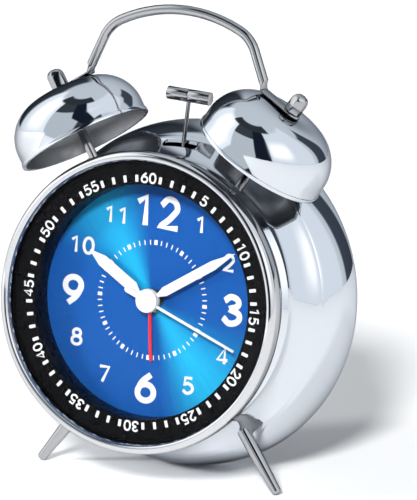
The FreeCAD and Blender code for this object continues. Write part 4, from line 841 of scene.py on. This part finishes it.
class CLOCK_OT_handle(bpy.types.Operator):
    """Bent handle with its flattened ends"""

    bl_idname = "clock.handle"
    bl_label = "Handle"

    def execute(self, context):
        s = sizes()
        tilt, lean, arch, bend = s.bell_tilt, s.handle_lean, s.handle_arch, s.handle_corner
        height = s.bell_rim + s.bell_height + s.handle
        foot = Vector((height * math.sin(tilt) - s.tab_reach * math.cos(tilt),
                       height * math.cos(tilt) + s.tab_reach * math.sin(tilt)))
        upward = Vector((-math.sin(lean), math.cos(lean)))
        inward = Vector((-math.cos(lean), -math.sin(lean)))
        middle = Vector((0, s.handle_top - arch))
        offset = foot + inward * bend - middle
        half = offset.dot(upward)
        climb = -half + math.sqrt(half ** 2 - offset.length_squared + (arch - bend) ** 2)
        corner = foot + inward * bend + upward * climb
        turn_arch = math.atan2(corner.x - middle.x, corner.y - middle.y)
        turn_bend = RIGHT_ANGLE - lean - turn_arch
        bm = bmesh.new()
        ring = bmesh.ops.create_circle(bm, segments=HANDLE_STEPS, radius=s.handle)["verts"]
        bmesh.ops.rotate(bm, verts=ring, cent=(0, 0, 0), matrix=Matrix.Rotation(RIGHT_ANGLE, 3, "Y"))
        bmesh.ops.translate(bm, verts=ring, vec=(0, 0, s.handle_top))
        last = self.sweep(bm, bm.edges[:], middle, turn_arch)
        last = self.sweep(bm, last, corner, turn_bend)
        leg_foot = foot + upward * (2.2 * MM)    # where the rod begins to bend over
        last = self.extend(bm, last, leg_foot - (foot + upward * climb))
        self.flatten(bm, last, s, leg_foot)
        bmesh.ops.mirror(bm, geom=bm.verts[:] + bm.edges[:] + bm.faces[:], axis="X", merge_dist=10 * MERGE)
        finished("handle_bar", bm, leaning(0, s.bell_depth), ["handle"], tone="rods")
        return {"FINISHED"}

    def sweep(self, bm, edges, centre, turn):
        """Carry a ring of edges round a centre."""
        made = bmesh.ops.spin(bm, geom=edges, cent=(centre.x, 0, centre.y), axis=(0, 1, 0), angle=turn,
                              steps=max(3, math.ceil(abs(turn) / ARC_STEP)))
        return new_edges(made, "geom_last")

    def extend(self, bm, edges, step):
        """Carry a ring of edges straight on."""
        made = bmesh.ops.extrude_edge_only(bm, edges=edges)
        verts = new_verts(made)
        bmesh.ops.translate(bm, verts=verts, vec=(step.x, 0, step.y))
        return [edge for edge in new_edges(made) if all(v in verts for v in edge.verts)]

    def flatten(self, bm, edges, s, leg_foot):
        """Bend the rod's end over and press it flat on the bell's crown, with a round tip."""
        steps, narrowest = 8, 0.06
        turn = -(RIGHT_ANGLE - s.handle_lean - s.bell_tilt) / steps
        seat = s.bell_rim + s.bell_height + s.tab_thickness / 2
        across = Vector((math.cos(s.bell_tilt), -math.sin(s.bell_tilt)))
        axis = Vector((math.sin(s.bell_tilt), math.cos(s.bell_tilt)))
        start = axis * seat - across * s.tab_reach
        thin = (s.tab_thickness / (2 * s.handle)) ** (1 / steps)
        broad = (s.tab_width / (2 * s.handle)) ** (1 / steps)
        here = leg_foot
        for index in range(1, steps + 1):
            target = leg_foot.lerp(start, index / steps)
            edges = self.extend(bm, edges, target - here)
            here = target
            verts = list({v for e in edges for v in e.verts})
            cent = (here.x, 0, here.y)
            bmesh.ops.rotate(bm, verts=verts, cent=cent, matrix=Matrix.Rotation(turn, 3, "Y"))
            space = Matrix.Translation(cent).inverted()
            bmesh.ops.scale(bm, verts=verts, vec=(thin, broad, thin), space=space)
        for share in (0.3, 0.6, 1.0):
            target = start + across * s.tab_reach * share
            edges = self.extend(bm, edges, target - here)
            here = target
        before = 1.0
        for index in range(1, steps + 1):
            sweep = RIGHT_ANGLE * index / steps
            target = start + across * (s.tab_reach + s.tab_width / 2 * math.sin(sweep))
            edges = self.extend(bm, edges, target - here)
            here = target
            verts = list({v for e in edges for v in e.verts})
            bmesh.ops.scale(bm, verts=verts, vec=(1, max(math.cos(sweep), narrowest) / before, 1))
            before = math.cos(sweep)
        bmesh.ops.holes_fill(bm, edges=edges, sides=0)


class CLOCK_OT_feet(bpy.types.Operator):
    """Two tapered feet"""

    bl_idname = "clock.feet"
    bl_label = "Feet"

    def execute(self, context):
        s = sizes()
        inverse = leaning(math.pi - s.foot_angle, s.foot_depth).inverted()
        end = max((inverse @ v.co).z for v in frame["nodes"]["foot_right"].data.vertices)
        start, rounding = 51 * MM, 1.1 * MM
        outline = [
            (0, start), (s.foot, start), (s.foot, end - s.foot_taper),
            (s.foot_tip, end - rounding, rounding, 1), (s.foot_tip - rounding, end), (0, end),
        ]
        for side, name in ((-1, "left"), (1, "right")):
            finished("foot_%s_rod" % name, turned(outline, ROD_STEPS),
                     leaning(math.pi - side * s.foot_angle, s.foot_depth), ["foot_" + name], tone="rods")
        return {"FINISHED"}


class CLOCK_OT_hammer(bpy.types.Operator):
    """Hammer head and its rod"""

    bl_idname = "clock.hammer"
    bl_label = "Hammer"

    def execute(self, context):
        s = sizes()
        pivot = CLOCK @ Matrix.Translation(HAMMER_PIVOT) @ Matrix.Rotation(s.hammer_lean, 4, "Y")
        half, groove = s.hammer_length / 2, 0.25 * MM
        outline = [
            (0, -half), (s.hammer, -half), (s.hammer, -groove), (s.hammer - groove, -groove),
            (s.hammer - groove, groove), (s.hammer, groove), (s.hammer, half), (0, half),
        ]
        lying = Matrix.Translation((0, 0, s.hammer_reach)) @ Matrix.Rotation(RIGHT_ANGLE, 4, "Y")
        finished("hammer_bar", turned(outline, ROD_STEPS, 0.12 * MM), pivot @ lying, ["hammer_head"],
                 "hammer", tone="rods")
        stem = rod(0.75 * MM, 0, s.hammer_reach, THIN_STEPS)
        bore, outside, deep = 1.05 * MM, 2.4 * MM, 3.2 * MM
        hub = turned([(bore, -deep), (outside, -deep), (outside, deep), (bore, deep)], THIN_STEPS, 0.1 * MM)
        absorb(stem, hub, Matrix.Rotation(RIGHT_ANGLE, 4, "X"))
        finished("hammer_stem", stem, pivot, ["hammer_rod"], "hammer", tone="rods")
        return {"FINISHED"}


class CLOCK_OT_carried(bpy.types.Operator):
    """Finishes for the CAD nodes that are shown as they are"""

    bl_idname = "clock.carried"
    bl_label = "Inner pieces"

    def execute(self, context):
        slots = {entry["node"]: entry["material_slot"] for entry in frame["record"]["subparts"]}
        for name, node in frame["nodes"].items():
            for holder in node.material_slots:
                holder.material = finish(slots[name])
        return {"FINISHED"}


# Studio walls seen from the clock, in degrees: from and to bearing, foot, top, soft margin, and tone
WALLS = (
    (-112, -38, -40, 60, 4, (1.15, 1.20, 1.26)),       # left pane
    (-88, -52, 8, 56, 10, (1.7, 1.7, 1.7)),            # its bright heart
    (-38, 13, -40, 40, 1.5, (0.62, 0.68, 0.73)),       # middle pane
    (-38, 16, 40, 62, 1.5, (0.05, 0.06, 0.07)),        # its dull top
    (10, 40, -50, 66, 1.5, (0.010, 0.016, 0.030)),     # bar between the panes
    (42, 128, -2, 60, 3, (0.92, 0.98, 1.05)),          # right pane
    (44, 84, 10, 38, 10, (1.6, 1.6, 1.6)),             # its bright heart
    (136, 160, -10, 38, 2, (0.06, 0.075, 0.10)),       # dark card behind, on the right
    (-152, -112, -30, 50, 5, (0.05, 0.06, 0.075)),     # dark card behind, on the left
    (-66, 66, 59, 74, 2, (0.035, 0.042, 0.050)),       # overhead frame
)


PALE_WALL = (0.70, 0.76, 0.82)    # tone of the walls elsewhere

# Lights: name, kind, bearing and rise in degrees, power, and the setting that softens them
LIGHTS = (
    ("front", "SUN", 12, 32, 4.3, "angle", math.radians(11)),
    ("left", "AREA", -52, 20, 55.0, "size", 0.45),
)
CAMERA_BEARING, CAMERA_RISE, CAMERA_ROLL = 24.69, 12.68, 1.23    # degrees
CAMERA_DISTANCE = 1.3
FLOOR_HALF = 6
CAMERA_AIM = Vector((22.8, -17.9, 87.6)) * MM


def direction(bearing, rise):
    """From the clock towards a bearing right of its front and a height above the floor, in degrees."""
    around, up = math.radians(bearing), math.radians(rise)
    return Vector((math.sin(around) * math.cos(up), -math.cos(around) * math.cos(up), math.sin(up)))


class CLOCK_OT_stage(bpy.types.Operator):
    """Pale floor, soft studio light and the camera"""

    bl_idname = "clock.stage"
    bl_label = "Stage"

    def execute(self, context):
        self.floor()
        self.sky()
        self.lights()
        self.camera()
        bpy.context.scene.view_settings.view_transform = "Standard"
        return {"FINISHED"}

    def floor(self):
        """Ground far wider than the view."""
        bm = bmesh.new()
        bmesh.ops.create_grid(bm, x_segments=2, y_segments=2, size=FLOOR_HALF)
        mesh = bpy.data.meshes.new("floor")
        bm.to_mesh(mesh)
        bm.free()
        ground = new_object("floor", mesh)
        made = Finish("floor", colours().floor, 0.8, Specular_IOR_Level=0.1)
        made.mottle(0.01, 3)
        ground.data.materials.append(made.material)

    def sky(self):
        """Studio walls: bright panes, dark bars between them, and a pale back."""
        world = bpy.context.scene.world or bpy.data.worlds.new("studio")
        bpy.context.scene.world = world
        world.use_nodes = True
        world.node_tree.nodes.clear()
        sky = Nodes(world.node_tree)
        parts = sky.node("ShaderNodeSeparateXYZ")
        sky.link(sky.node("ShaderNodeTexCoord").outputs["Generated"], parts.inputs[0])
        ahead = sky.maths("MULTIPLY", parts.outputs["Y"], -1.0)
        bearing = sky.maths("ARCTAN2", parts.outputs["X"], ahead)
        rise = sky.maths("ARCSINE", parts.outputs["Z"])
        walls = PALE_WALL
        for low, high, foot, top, soft, tone in WALLS:
            across, upward = sky.window(bearing, low, high, soft), sky.window(rise, foot, top, soft)
            where = sky.maths("MULTIPLY", across, upward)
            walls = sky.blend(where, walls, tone)
        light = sky.node("ShaderNodeBackground")
        mirrored = sky.node("ShaderNodeLightPath").outputs["Is Glossy Ray"]
        sky.link(sky.ramp(mirrored, 0, 1, 0.5, 1.0, "LINEAR"), light.inputs["Strength"])
        sky.link(walls, light.inputs["Color"])
        sky.link(light.outputs[0], sky.node("ShaderNodeOutputWorld").inputs["Surface"])

    def lights(self):
        """A soft light from the clock's front, and a nearer one from its left that shades the dial's well."""
        aim, distance = Vector((0, 0, 0.08)), 3
        for name, kind, bearing, rise, power, spread, size in LIGHTS:
            lamp = bpy.data.lights.new(name, kind)
            lamp.energy = power
            setattr(lamp, spread, size)
            holder = new_object(name, lamp)
            holder.visible_glossy = False
            away = direction(bearing, rise)
            holder.location = aim + away * distance
            holder.rotation_euler = away.to_track_quat("Z", "Y").to_euler()

    def camera(self):
        """Long lens from the clock's right front, a little above it."""
        away, roll = direction(CAMERA_BEARING, CAMERA_RISE), math.radians(CAMERA_ROLL)
        data = bpy.data.cameras.new("camera")
        data.sensor_width = 36
        data.sensor_fit = "AUTO"
        data.lens = 270.4
        data.clip_start, data.clip_end = 0.05, 20
        holder = new_object("camera", data)
        holder.location = CAMERA_AIM + away * CAMERA_DISTANCE
        level = away.to_track_quat("Z", "Y").to_matrix().to_4x4()
        holder.rotation_euler = (level @ Matrix.Rotation(roll, 4, "Z")).to_euler()
        bpy.context.scene.camera = holder


PIECES = (CLOCK_OT_case, CLOCK_OT_dial, CLOCK_OT_hands, CLOCK_OT_bells, CLOCK_OT_handle, CLOCK_OT_feet,
          CLOCK_OT_hammer, CLOCK_OT_carried, CLOCK_OT_stage)


class CLOCK_PT_panel(bpy.types.Panel):
    """Lists the clock's operators."""

    bl_idname = "CLOCK_PT_panel"
    bl_label = "Alarm clock"
    bl_space_type = "VIEW_3D"
    bl_region_type = "UI"
    bl_category = "Alarm clock"

    def draw(self, context):
        for piece in PIECES:
            self.layout.operator(piece.bl_idname)


CLASSES = (ClockSizes, ClockColours, *PIECES, CLOCK_PT_panel)


def register():
    """Add the classes and the scene's settings."""
    for item in CLASSES:
        bpy.utils.register_class(item)
    bpy.types.Scene.clock_sizes = PointerProperty(type=ClockSizes)
    bpy.types.Scene.clock_colours = PointerProperty(type=ClockColours)


def unregister():
    """Take them out again."""
    del bpy.types.Scene.clock_colours
    del bpy.types.Scene.clock_sizes
    for item in reversed(CLASSES):
        bpy.utils.unregister_class(item)


def main():
    """Build every piece."""
    register()
    for piece in PIECES:
        group, name = piece.bl_idname.split(".")
        getattr(getattr(bpy.ops, group), name)()


if __name__ == "__main__":
    main()
